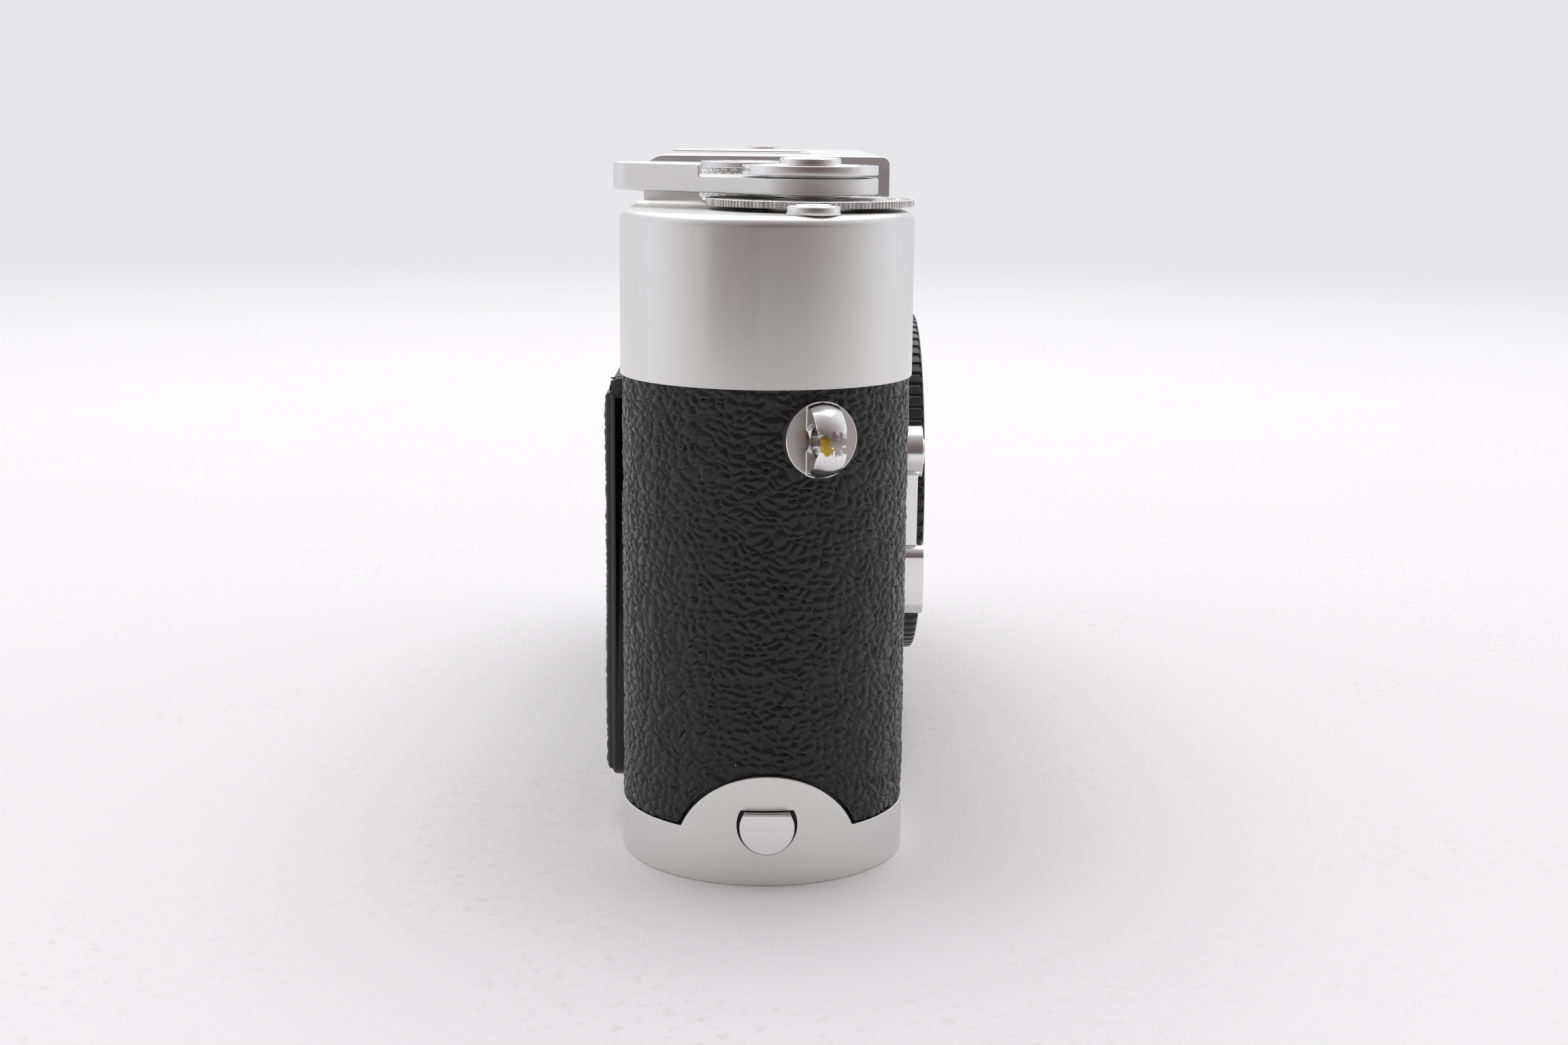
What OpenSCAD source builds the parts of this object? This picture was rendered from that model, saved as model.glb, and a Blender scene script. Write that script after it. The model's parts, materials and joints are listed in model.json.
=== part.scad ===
// Rangefinder film camera body for 35 mm film, with its mount cap on.
// The camera stands on its base plate: X runs along its length, the front (lens side) faces -Y,
// the film door faces +Y and +Z is up. The origin is the centre of the base plate's underside.

/* [Overall size] */
// Length over the top cover
cover_l = 138; // [135:1:170]
// Depth of the top cover, front to back
cover_d = 32.2; // [31:0.1:39]
// Height of the low deck of the top cover
deck_z = 71.7; // [70:0.1:88]
// Rise of the raised viewfinder section over the low deck
raised_rise = 5.3; // [4.4:0.1:6.5]
// Height at which the covering ends and the top cover begins
cover_bottom_z = 53.9; // [53:0.1:56]

/* [Walls and steps] */
// Sheet thickness of the top cover
cover_t = 0.8; // [0.6:0.05:1]
// Radius of the top cover's upper rim
cover_rim_r = 1.2; // [0.8:0.1:2]
// Step from the top cover down to the covering
covering_step = 0.35; // [0.2:0.05:0.5]
// Thickness of the covering
covering_t = 0.7; // [0.5:0.05:0.9]
// Wall of the die-cast body shell
shell_wall = 1.5; // [1.2:0.1:1.9]
// Thickness of the mechanism deck
deck_t = 1.2; // [0.9:0.1:1.5]

/* [Base plate] */
// Height of the base plate's rim
rim_z = 5.9; // [5:0.1:7]
// Thickness of the base plate's floor
floor_t = 1; // [0.8:0.1:1.2]
// Thickness of the base plate's rim
rim_t = 0.75; // [0.6:0.05:0.9]
// Step from the top cover in to the base plate
base_step = 0.15; // [0.1:0.05:0.3]
// Gap between the base plate's rim and the shell's lower lip
lip_gap = 0.45; // [0.4:0.05:0.6]
// Radius of the round end tab
tab_r = 10; // [8:0.5:12]
// Height of the end tab's top
tab_top_z = 12.3; // [11:0.1:15]
// Radius of the locating stud
stud_r = 2.95; // [2.4:0.05:3.5]
// How far the stud stands out of the tab
stud_proud = 1.1; // [0.6:0.1:1.6]
// Radius of the latch pocket
latch_r = 8; // [7:0.1:9.5]
// Wall radius of the tripod socket
tripod_r = 3.175; // [3.1:0.025:4]
// Depth of the tripod socket
tripod_depth = 5.6; // [4.5:0.1:6.8]

/* [Lens mount] */
// Distance of the lens axis from the middle of the body
lens_x = 4.3; // [2:0.1:5]
// Height of the lens axis
lens_z = 32.2; // [31:0.1:33]
// Radius of the mount's throat
throat_r = 20.5; // [17:0.1:21]
// Outer radius of the mount's flange
flange_r = 24.2; // [22.5:0.1:24.5]
// Height of the flange over the shell
flange_t = 1.95; // [1.6:0.05:2.4]
// Distance from the flange to the film
flange_to_film = 27.8; // [27:0.1:28.2]
// Outer radius of the mount cap
cap_r = 23.3; // [22:0.1:23.8]
// Thickness of the mount cap in front of the flange
cap_t = 3.8; // [3:0.1:4.6]

/* [Film path] */
// Width of the film gate
gate_w = 36; // [24:1:36]
// Height of the film gate
gate_h = 24; // [18:1:24]
// Width of the film
film_w = 35; // [30:1:35]
// Radius of the cassette chamber
cassette_r = 12.7; // [12.4:0.1:12.9]
// Teeth on the wind gear
wind_teeth = 24; // [20:2:26]
// Teeth on the idler gear, an odd number
idler_teeth = 17; // [15:2:19]
// Teeth on the sprocket gear
sprocket_teeth = 10; // [8:2:12]
// Gear module
gear_m = 0.7; // [0.6:0.05:0.8]

/* [Film door] */
// Width of the film door
door_w = 90; // [86:1:90]
// Distance of the door's middle from the middle of the body
door_x = -5; // [-5:0.5:-4]
// Thickness of the door without its covering
door_t = 2.2; // [2.1:0.1:2.6]
// Thickness of the door's own covering
door_skin_t = 0.4; // [0.3:0.1:0.8]
// Radius of the door's hinge pin
pin_r = 0.6; // [0.5:0.05:0.7]
// Radius of the film reminder disc
reminder_r = 11.5; // [9:0.5:14]

/* [Top controls] */
// Distance of the wind lever's axis from the near end of the cover
wind_inset = 18.7; // [18:0.1:23]
// Distance of the wind lever's axis in front of the centre line
wind_front = 4.7; // [4:0.1:5.2]
// Radius of the wind lever's hub
hub_r = 7.5; // [6.5:0.1:8.5]
// Distance from the wind lever's hub to the middle of its tip
lever_reach = 20.7; // [18:0.1:22]
// Radius of the wind lever's tip
tip_r = 4; // [3:0.1:4.6]
// Angle of the wind lever at rest, from the body's length
lever_angle = 62; // [60:1:70]
// Radius of the frame counter disc
counter_r = 11.5; // [10:0.1:11.6]
// Radius of the release button
button_r = 3.4; // [2.8:0.1:3.6]
// Travel of the release button
button_travel = 2; // [1:0.1:2]
// Distance of the speed dial's axis from the near end of the cover
dial_inset = 37.6; // [37.5:0.1:42]
// Radius of the speed dial
dial_r = 6.9; // [6:0.1:7]
// Distance of the rewind knob's top over the low deck
knob_h = 4.7; // [4:0.1:6]
// Radius of the rewind knob
knob_r = 8.2; // [6.5:0.1:9]
// Inner width of the accessory shoe
shoe_w = 18.7; // [18.6:0.05:18.8]

/* [Front controls] */
// Radius of the self-timer's hub
timer_hub_r = 3.2; // [2.8:0.1:4]
// Distance from the self-timer's hub to the middle of its tip
timer_reach = 16; // [13:0.5:19]
// Reach of the frame selector lever
selector_reach = 14; // [11:0.5:15]

/* [Strap lugs] */
// Radius of a lug's base
lug_r = 4; // [3.4:0.1:4.8]
// Radius of a lug's eye
eye_r = 1.5; // [1.2:0.05:1.6]
// Thickness of a lug's web
web_t = 3.4; // [2.8:0.1:4.1]
// Height of the lugs
lug_z = 48.7; // [46:0.1:49]
// Turn of a lug towards the front
lug_turn = 20.6; // [10:0.1:25]

/* [Hidden] */
$fn = 64;

// Clearance of a shaft that turns in its bore, on the radius
run_gap = 0.05;
// Clearance between pieces that pass each other
gap = 0.3;
// Amount by which a cutting shape passes the face it cuts
cut = 1;
// Depth of a lever's straight sides inside the tangents of its round ends
side_sink = 0.02;

// Plan sizes of the layers, from the outside in
covering_l = cover_l - 2 * covering_step;
covering_d = cover_d - 2 * covering_step;
shell_l = covering_l - 2 * covering_t;
shell_d = covering_d - 2 * covering_t;
inner_l = shell_l - 2 * shell_wall;
inner_d = shell_d - 2 * shell_wall;
base_l = cover_l - 2 * base_step;
base_d = cover_d - 2 * base_step;
lip_l = base_l - 2 * (rim_t + lip_gap);
lip_d = base_d - 2 * (rim_t + lip_gap);
near_x = -cover_l / 2;
far_x = cover_l / 2;
end_x = (covering_l - covering_d) / 2;

// Heights
covering_z0 = rim_z + 0.2;
lip_z0 = floor_t + 0.4;
shell_top_z = cover_bottom_z + 1.1;
mech_z = cover_bottom_z - 0.7;
raised_z = deck_z + raised_rise;
gear_z0 = shell_top_z + 0.2;
gear_t = 2;

// Faces of the body along Y
cover_front = -cover_d / 2;
cover_back = cover_d / 2;
covering_front = -covering_d / 2;
shell_front = -shell_d / 2;
shell_back = shell_d / 2;
inner_front = -inner_d / 2;
flange_y = shell_front - flange_t;
film_y = flange_y + flange_to_film;

// Raised viewfinder section
raised_x0 = near_x + 45;
raised_x1 = far_x - 26;
raised_front = cover_front + 0.95;
raised_back = cover_back - 1.15;
raised_front_r = 1;
raised_back_r = 2.5;

// Windows in the front of the cover: centre along X, centre height, width, height
window_z = deck_z - 6.9;
viewfinder_win = [far_x - 26, window_z, 15, 10];
frosted_win = [lens_x + 10.7, window_z, 15, 8];
rangefinder_win = [raised_x0 + 1, window_z, 8, 6];
windows = [viewfinder_win, frosted_win, rangefinder_win];
window_rim = 0.9;
window_proud = 0.3;
pane_t = 0.5;
eyepiece = [far_x - 23, window_z];
eyepiece_r = 6;
eyepiece_glass_r = 3.6;
flash_x = [lens_x + 9, lens_x + 20];
flash_z = cover_bottom_z + 6;
flash_r = 3.2;

// Accessory shoe, sunk in the raised section and open at the back
shoe_x = (raised_x0 + raised_x1) / 2;
shoe_wall = 1.1;
shoe_slot_h = 2.1;
shoe_base_t = 0.8;
shoe_lip_gap = 12.5;
shoe_l = 19;
shoe_top = raised_z + 0.1;
shoe_floor = shoe_top - shoe_slot_h - shoe_base_t - 1;
shoe_y1 = raised_back - 2;
shoe_y0 = shoe_y1 - shoe_l;
shoe_screw_r = 1.3;

// Wind lever axis, gear train and take-up
wind_x = near_x + wind_inset;
wind_y = -wind_front;
wind_pitch_r = gear_m * wind_teeth / 2;
idler_pitch_r = gear_m * idler_teeth / 2;
sprocket_pitch_r = gear_m * sprocket_teeth / 2;
train_angle = 24;
idler_d = wind_pitch_r + idler_pitch_r;
sprocket_d = idler_d + idler_pitch_r + sprocket_pitch_r;
idler_x = wind_x + idler_d * cos(train_angle);
idler_y = wind_y + idler_d * sin(train_angle);
sprocket_x = wind_x + sprocket_d * cos(train_angle);
sprocket_y = wind_y + sprocket_d * sin(train_angle);
wind_shaft_r = 3;
rod_r = 1.5;
counter_z0 = deck_z + 0.45;
counter_t = 0.75;
bearing_r = 4.5;
lever_z0 = deck_z + 1.7;
lever_t = 1.8;
lever_z1 = lever_z0 + lever_t;
cup_r = 4.6;
cup_floor_t = 0.4;
cap_z0 = lever_z1 + 0.3;
cap_z1 = cap_z0 + 1;
button_top = cap_z1 + 0.85;
button_z0 = lever_z0 - gap + cup_floor_t + button_travel + run_gap;
spool_z0 = tripod_depth + 3.4;
spool_z1 = mech_z - deck_t - 1.5;
spool_r = 5;
spool_flange_r = 8.2;
boss_x = near_x + 4.2;
boss_r = 2.85;

// Other controls on the top
dial_x = near_x + dial_inset;
dial_y = 1.2;
dial_top = deck_z + 4.8;
rewind_x = end_x;
rewind_r = 2;
sleeve_r = 3;
fork_z1 = mech_z - 10.5;
fork_h = 5.5;
fork_r = 3.4;

// Controls on the front
front_plane = cover_front - gap;
timer_x = lens_x - 31;
timer_z = lens_z + 8.9;
timer_pin_r = 1.2;
timer_base_r = 4.2;
timer_front = front_plane - 3.5;
selector_x = lens_x + 32.7;
selector_z = lens_z + 12.3;
selector_hub_r = 3.4;
selector_tip_r = 2.3;
selector_t = 2;
release_x = lens_x - 28.3;
release_z = rim_z + 6.6;
release_hub_r = 2.6;
release_reach = 5;
release_pin_r = 1;
release_t = 1.5;
lens_release_angle = 40;
lens_release_d = flange_r + 3.85;
lens_release_x = lens_x - lens_release_d * sin(lens_release_angle);
lens_release_z = lens_z - lens_release_d * cos(lens_release_angle);
lens_release_r = 2.4;
guard_r = 3.6;
flange_screw_r = 1.1;
flange_screw_d = (throat_r + flange_r) / 2;

// Light chamber and gate
chamber_w = gate_w + 6;
chamber_h = gate_h + 7;
chamber_t = 1;
curtain_y = film_y - 2.4;
curtain_t = 0.3;
gate_t = 1.2;
rail_t = 0.2;
roller_r = 3.2;
roller_x = lens_x + 28.7;
frame_x0 = lens_x - 23.8;
frame_x1 = lens_x + 31;
arm_x = lens_x - 18.3;
arm_y = -8.5;
follower_y = inner_front + 1.95;
arm_z0 = lens_z + max(throat_r - 3.1, chamber_h / 2 + 2 * gap);

// Film door and its hinge
door_gap = 0.15;
door_y0 = shell_back + door_gap;
door_y1 = door_y0 + door_t;
hinge_r = door_t / 2;
hinge_y = door_y0 + hinge_r;
hinge_z = cover_bottom_z - 1 - hinge_r;
door_z0 = rim_z + gap;
door_x0 = door_x - door_w / 2;
door_x1 = door_x + door_w / 2;
door_corner_r = 1.5;
door_plate_t = 1.2;
opening_x0 = door_x0 + 6;
opening_x1 = door_x1 - 6;
opening_z0 = lens_z - film_w / 2 - 2.2;
opening_z1 = hinge_z - 0.4;
bracket_t = 1.2;
reminder_z = lens_z + 1.4;
plate_w = gate_w + 7;
plate_h = film_w - 1;
plate_y0 = film_y + rail_t + 0.1;
plate_t = 1;

// Base plate
pivot_z = tab_top_z;
tab_z = tab_top_z - tab_r;
tab_y = -0.4;
stud_z = tab_z + 4.55;
stud_flat = 1.55;
stud_gap = 0.32;
stud_flat_gap = 0.08;
latch_x = end_x;
latch_wall = 2;
latch_floor_z = floor_t + 1.1;
latch_top_z = latch_floor_z + 0.7;
latch_shaft_r = 2.5;
cam_reach = 9.6;
handle_r = 6.4;
handle_t = 0.8;
handle_z0 = 0.2;
barrel_r = 0.5;
barrel_l = 9;
handle_pin_r = 0.35;
tripod_x = -end_x + 2.9;
tripod_wall_r = 6.5;

// Outline with half-round ends, l long and d deep
module stadium(l, d) {
  square([l - d, d], center = true);
  for (s = [-1, 1]) translate([s * (l - d) / 2, 0]) circle(d = d);
}

// Upright slab with half-round ends
module slab(l, d, z0, z1) {
  translate([0, 0, z0]) linear_extrude(z1 - z0) stadium(l, d);
}

// Half of a slab's cross-section, with a rounded upper edge
module rim_profile(h, z0, z1, r) {
  translate([0, z0]) square([h, z1 - z0 - r]);
  translate([0, z1 - r]) square([h - r, r]);
  translate([h - r, z1 - r]) circle(r);
}

// Slab with half-round ends and a rounded upper rim
module rimmed_slab(l, d, z0, z1, r) {
  flat_l = l - d;
  for (s = [-1, 1]) translate([s * flat_l / 2, 0, 0])
    rotate_extrude() intersection() {
      rim_profile(d / 2, z0, z1, r);
      translate([0, z0]) square([d, z1 - z0]);
    }
  rotate([90, 0, 90]) linear_extrude(flat_l, center = true) {
    rim_profile(d / 2, z0, z1, r);
    mirror([1, 0]) rim_profile(d / 2, z0, z1, r);
  }
}

// Rectangle with round corners, w by h about its centre
module round_rect(w, h, r) {
  square([w - 2 * r, h], center = true);
  square([w, h - 2 * r], center = true);
  for (sx = [-1, 1], sy = [-1, 1]) translate([sx * (w / 2 - r), sy * (h / 2 - r)]) circle(r);
}

// Box given by its limits along each axis
module box(x, y, z) {
  translate([x[0], y[0], z[0]]) cube([x[1] - x[0], y[1] - y[0], z[1] - z[0]]);
}

// Upright round bar
module post(x, y, z0, z1, r) {
  translate([x, y, z0]) cylinder(h = z1 - z0, r = r);
}

// Round bar along Y
module bar_y(x, z, y0, y1, r) {
  translate([x, y0, z]) rotate([-90, 0, 0]) cylinder(h = y1 - y0, r = r);
}

// Round bar along X
module bar_x(y, z, x0, x1, r) {
  translate([x0, y, z]) rotate([0, 90, 0]) cylinder(h = x1 - x0, r = r);
}

// Flat outline around two circles and the straight sides between them, along +X
module tapered_bar(reach, r1, r2) {
  a = acos((r1 - r2) / reach);
  side = [cos(a), sin(a)];
  near_p = (r1 - side_sink) * side;
  far_p = [reach, 0] + (r2 - side_sink) * side;
  circle(r1);
  translate([reach, 0]) circle(r2);
  polygon([near_p, far_p, [far_p[0], -far_p[1]], [near_p[0], -near_p[1]]]);
}

// Places children on the XZ plane of the front, facing -Y: outline X stays X and outline Y is up
module on_front(x, z, y0, y1) {
  translate([x, y1, z]) rotate([90, 0, 0]) linear_extrude(y1 - y0) children();
}

// Spur gear outline; one tooth points at angle phase
module gear_outline(teeth, phase) {
  pitch_r = gear_m * teeth / 2;
  root_r = pitch_r - 1.25 * gear_m;
  tip_at = pitch_r + gear_m * 0.95;
  half_root = gear_m * 0.92;
  half_tip = gear_m * 0.3;
  circle(root_r);
  for (i = [0 : teeth - 1]) rotate(phase + i * 360 / teeth)
    polygon([
      [root_r - gear_m, -half_root], [tip_at, -half_tip], [tip_at, half_tip],
      [root_r - gear_m, half_root]
    ]);
}

// D-shaped outline of the stud, grown by g round its side and by flat_g at its flat
module stud_outline(g, flat_g) {
  intersection() {
    circle(stud_r + g);
    translate([-2 * stud_r, -2 * stud_r]) square([4 * stud_r, 2 * stud_r + stud_flat + flat_g]);
  }
}

// Bar with the stud's outline along X, from x0 to x1
module stud_bar(x0, x1, g, flat_g) {
  translate([x0, tab_y, stud_z]) rotate([90, 0, 90]) linear_extrude(x1 - x0)
    stud_outline(g, flat_g);
}

// Moves children to a lug's frame at the near end: +X points out of the body
module at_lug() {
  translate([-end_x, 0, lug_z]) rotate([0, 0, 180 + lug_turn]) children();
}

// Both lugs' seats, with radius r, cut in from the outside to the distance x0
module lug_seats(r, x0) {
  for (s = [0, 1]) mirror([s, 0, 0]) at_lug() bar_x(0, 0, x0, covering_d, r);
}

// Space of the cut-outs that both the shell and the covering have in their front
module front_holes(y0, y1) {
  bar_y(selector_x, selector_z, y0, y1, timer_pin_r + run_gap);
  bar_y(release_x, release_z, y0, y1, release_pin_r + run_gap);
}

module body_shell() color("dimgray")
  difference() {
    union() {
      slab(shell_l, shell_d, covering_z0, shell_top_z);
      slab(lip_l, lip_d, lip_z0, covering_z0);
    }
    slab(inner_l, inner_d, lip_z0 - cut, shell_top_z + cut);
    bar_y(lens_x, lens_z, shell_front - cut, 0, throat_r);
    box([opening_x0, opening_x1], [0, shell_back + cut], [opening_z0, opening_z1]);
    bar_y(timer_x, timer_z, shell_front - cut, 0, timer_pin_r + run_gap);
    front_holes(shell_front - cut, 0);
    bar_y(lens_release_x, lens_release_z, shell_front - cut, 0, lens_release_r + run_gap);
    lug_seats(lug_r, shell_d / 2 - 0.55);
    stud_bar(near_x - cut, -inner_l / 2 + 2 * shell_wall, 0, 0);
  }

module body_covering() color([0.06, 0.06, 0.065])
  difference() {
    slab(covering_l, covering_d, covering_z0, cover_bottom_z);
    slab(shell_l, shell_d, covering_z0 - cut, cover_bottom_z + cut);
    bar_y(lens_x, lens_z, covering_front - cut, 0, flange_r + run_gap);
    box([door_x0 - bracket_t - 3 * gap, door_x1 + bracket_t + 3 * gap],
      [0, cover_d], [covering_z0 - cut, cover_bottom_z + cut]);
    bar_y(timer_x, timer_z, covering_front - cut, 0, timer_base_r + run_gap);
    front_holes(covering_front - cut, 0);
    bar_y(lens_release_x, lens_release_z, covering_front - cut, 0, guard_r + run_gap);
    lug_seats(lug_r + run_gap, 0);
    bar_x(tab_y, tab_z, near_x - cut, -end_x, tab_r + gap);
  }

module mechanism_deck() color("darkgray")
  difference() {
    union() {
      slab(inner_l, inner_d, mech_z - deck_t, mech_z);
      post(idler_x, idler_y, mech_z, gear_z0 + gear_t + gap, rod_r);
      post(arm_x, arm_y, arm_z0 - gap, mech_z, timer_pin_r);
    }
    post(wind_x, wind_y, mech_z - deck_t - cut, mech_z + cut, wind_shaft_r + run_gap);
    post(sprocket_x, sprocket_y, mech_z - deck_t - cut, mech_z + cut, rod_r + run_gap);
    post(rewind_x, 0, mech_z - deck_t - cut, mech_z + cut, sleeve_r + run_gap);
  }

module light_chamber() color([0.12, 0.12, 0.13])
  difference() {
    box([lens_x - chamber_w / 2, lens_x + chamber_w / 2], [inner_front, curtain_y - gap],
      [lens_z - chamber_h / 2, lens_z + chamber_h / 2]);
    box([lens_x - chamber_w / 2 + chamber_t, lens_x + chamber_w / 2 - chamber_t],
      [inner_front - cut, curtain_y + cut],
      [lens_z - chamber_h / 2 + chamber_t, lens_z + chamber_h / 2 - chamber_t]);
  }

module film_gate_frame() color([0.15, 0.15, 0.16]) {
  z0 = opening_z0;
  difference() {
    box([frame_x0, frame_x1], [film_y - gate_t, film_y], [z0, mech_z - deck_t]);
    box([lens_x - gate_w / 2, lens_x + gate_w / 2], [film_y - gate_t - cut, film_y + cut],
      [lens_z - gate_h / 2, lens_z + gate_h / 2]);
  }
  for (s = [-1, 1], rail = [gate_h / 2 + 0.8, film_w / 2 - 0.4])
    box([frame_x0, frame_x1], [film_y, film_y + rail_t],
      [lens_z + s * rail - 0.4, lens_z + s * rail + 0.4]);
}

module cassette_chamber() color([0.13, 0.13, 0.14])
  difference() {
    post(rewind_x, 0, spool_z0, mech_z - deck_t, cassette_r + 0.8);
    post(rewind_x, 0, spool_z0 - cut, mech_z, cassette_r);
    box([rewind_x - 2 * cassette_r, rewind_x], [cassette_r / 2, cassette_r + cut],
      [spool_z0 - cut, mech_z]);
  }

module shutter_curtain() color([0.05, 0.05, 0.05])
  box([lens_x - chamber_w / 2 - 3, roller_x], [curtain_y, curtain_y + curtain_t],
    [lens_z - gate_h / 2 - 2.5, lens_z + gate_h / 2 + 2.5]);

module curtain_roller() color("silver") {
  post(roller_x, curtain_y - roller_r, lens_z - gate_h / 2 - 3, lens_z + gate_h / 2 + 3, roller_r);
  post(roller_x, curtain_y - roller_r, lens_z, mech_z - deck_t, timer_pin_r);
}

// Outside of the raised section, or with t its inside
module raised_body(t) {
  y0 = raised_front + t;
  y1 = raised_back - t;
  z0 = deck_z - cover_rim_r;
  z1 = raised_z - t;
  rf = raised_front_r;
  rb = raised_back_r;
  translate([raised_x0 + t, 0, 0]) rotate([90, 0, 90])
    linear_extrude(raised_x1 - raised_x0 - 2 * t) {
      translate([y0, z0]) square([y1 - y0, z1 - z0 - rb]);
      translate([y0 + rf, z0]) square([y1 - y0 - rf - rb, z1 - z0]);
      translate([y0, z0]) square([rf, z1 - z0 - rf]);
      translate([y0 + rf, z1 - rf]) circle(rf);
      translate([y1 - rb, z1 - rb]) circle(rb);
    }
}

// Pocket for the accessory shoe, grown by t
module shoe_pocket(t) {
  half = shoe_w / 2 + shoe_wall + gap / 2 + t;
  box([shoe_x - half, shoe_x + half], [shoe_y0 - gap / 2 - t, cover_back],
    [shoe_floor - t, raised_z + 2 * cut]);
}

module top_cover() color([0.78, 0.78, 0.78])
  difference() {
    union() {
      rimmed_slab(cover_l, cover_d, cover_bottom_z, deck_z, cover_rim_r);
      raised_body(0);
    }
    difference() {
      union() {
        rimmed_slab(cover_l - 2 * cover_t, cover_d - 2 * cover_t, cover_bottom_z - cut,
          deck_z - cover_t, cover_rim_r - cover_t / 2);
        raised_body(cover_t);
      }
      shoe_pocket(cover_t);
    }
    shoe_pocket(0);
    post(wind_x, wind_y, deck_z - 2 * cover_t, deck_z + cut, bearing_r);
    post(dial_x, dial_y, deck_z - 2 * cover_t, deck_z + cut, rod_r + run_gap);
    post(rewind_x, 0, deck_z - 2 * cover_t, deck_z + cut, sleeve_r + gap);
    post(boss_x, wind_y, deck_z - 2 * cover_t, deck_z + cut, rod_r);
    bar_y(lens_x, lens_z, cover_front - cut, 0, flange_r + run_gap);
    for (w = windows) on_front(w[0], w[1], cover_front - cut, 0)
      round_rect(w[2], w[3], window_rim);
    bar_y(eyepiece[0], eyepiece[1], 0, cover_back + cut, eyepiece_glass_r + 0.8);
    for (x = flash_x) bar_y(x, flash_z, 0, cover_back + cut, flash_r - 0.8);
  }

module window_frames() color("black")
  for (w = windows) difference() {
    on_front(w[0], w[1], cover_front - window_proud, cover_front + cover_t)
      round_rect(w[2], w[3], window_rim);
    on_front(w[0], w[1], cover_front - cut, cover_front + cover_t + cut)
      round_rect(w[2] - 2 * window_rim, w[3] - 2 * window_rim, window_rim / 2);
  }

// One pane that fills a window's frame
module pane(w) {
  on_front(w[0], w[1], cover_front + 0.1, cover_front + 0.1 + pane_t)
    round_rect(w[2] - 2 * window_rim, w[3] - 2 * window_rim, window_rim / 2);
}

module viewfinder_window() color([0.55, 0.65, 0.75]) pane(viewfinder_win);

module frosted_window() color([0.85, 0.87, 0.88]) pane(frosted_win);

module rangefinder_window() color([0.55, 0.65, 0.75]) pane(rangefinder_win);

module eyepiece_ring() color("silver")
  difference() {
    union() {
      bar_y(eyepiece[0], eyepiece[1], cover_back, cover_back + 1.5, eyepiece_r);
      bar_y(eyepiece[0], eyepiece[1], cover_back - 1.5, cover_back, eyepiece_glass_r + 0.8);
    }
    bar_y(eyepiece[0], eyepiece[1], 0, cover_back + 2, eyepiece_glass_r);
  }

module eyepiece_lens() color([0.55, 0.65, 0.75])
  bar_y(eyepiece[0], eyepiece[1], cover_back - 0.5, cover_back + 0.5, eyepiece_glass_r);

// Block that stands on the mechanism deck on two feet
module optic_block(x, y, z) {
  box(x, y, z);
  foot_w = 2;
  for (fx = [x[0], x[1] - foot_w])
    box([fx, fx + foot_w], [y[0] + gap, y[0] + gap + foot_w], [mech_z, z[0]]);
}

module viewfinder_block() color([0.5, 0.6, 0.65])
  optic_block([rewind_x - 23, rewind_x - 5], [cover_front + 3, cover_back - 4],
    [window_z - 5, window_z + 4]);

module rangefinder_bar() color([0.5, 0.6, 0.65])
  optic_block([dial_x + 5, rewind_x - 25], [cover_front + 4, cover_front + 11],
    [window_z - 4, window_z + 3]);

module accessory_shoe() color("silver")
  difference() {
    box([shoe_x - shoe_w / 2 - shoe_wall, shoe_x + shoe_w / 2 + shoe_wall],
      [shoe_y0, shoe_y1], [shoe_floor, shoe_top]);
    box([shoe_x - shoe_w / 2, shoe_x + shoe_w / 2], [shoe_y0 + shoe_wall, shoe_y1 + cut],
      [shoe_floor + shoe_base_t, shoe_floor + shoe_base_t + shoe_slot_h]);
    box([shoe_x - shoe_lip_gap / 2, shoe_x + shoe_lip_gap / 2],
      [shoe_y0 + shoe_wall, shoe_y1 + cut], [shoe_floor + shoe_base_t, shoe_top + cut]);
    shoe_screw_set(shoe_floor + 0.2, shoe_floor + shoe_base_t + cut);
  }

// Bars at the places of the shoe's four screws
module shoe_screw_set(z0, z1) {
  for (sx = [-1, 1], sy = [-1, 1])
    post(shoe_x + sx * shoe_lip_gap / 3, (shoe_y0 + shoe_y1) / 2 + sy * shoe_l / 4, z0, z1,
      shoe_screw_r);
}

module shoe_screws() color("gainsboro")
  shoe_screw_set(shoe_floor + 0.2, shoe_floor + shoe_base_t);

module flash_sockets() color("silver")
  for (x = flash_x) difference() {
    union() {
      bar_y(x, flash_z, cover_back, cover_back + 0.8, flash_r);
      bar_y(x, flash_z, cover_back - 4, cover_back, flash_r - 0.8);
    }
    bar_y(x, flash_z, cover_back - 3, cover_back + cut, flash_r - 1.5);
  }

// Bars at the places of the flange's screws
module flange_screw_set(y0, y1) {
  for (i = [0 : 5]) bar_y(lens_x + flange_screw_d * cos(30 + 60 * i),
    lens_z + flange_screw_d * sin(30 + 60 * i), y0, y1, flange_screw_r);
}

module lens_flange() color("silver")
  difference() {
    bar_y(lens_x, lens_z, flange_y, shell_front, flange_r);
    bar_y(lens_x, lens_z, flange_y - cut, shell_front + cut, throat_r);
    flange_screw_set(flange_y - cut, flange_y + 0.8);
  }

module flange_screws() color("gainsboro") flange_screw_set(flange_y, flange_y + 0.8);

module release_guard() color("silver")
  difference() {
    bar_y(lens_release_x, lens_release_z, shell_front - 2.15, shell_front, guard_r);
    bar_y(lens_release_x, lens_release_z, shell_front - 3, shell_front + cut,
      lens_release_r + run_gap);
  }

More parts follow.
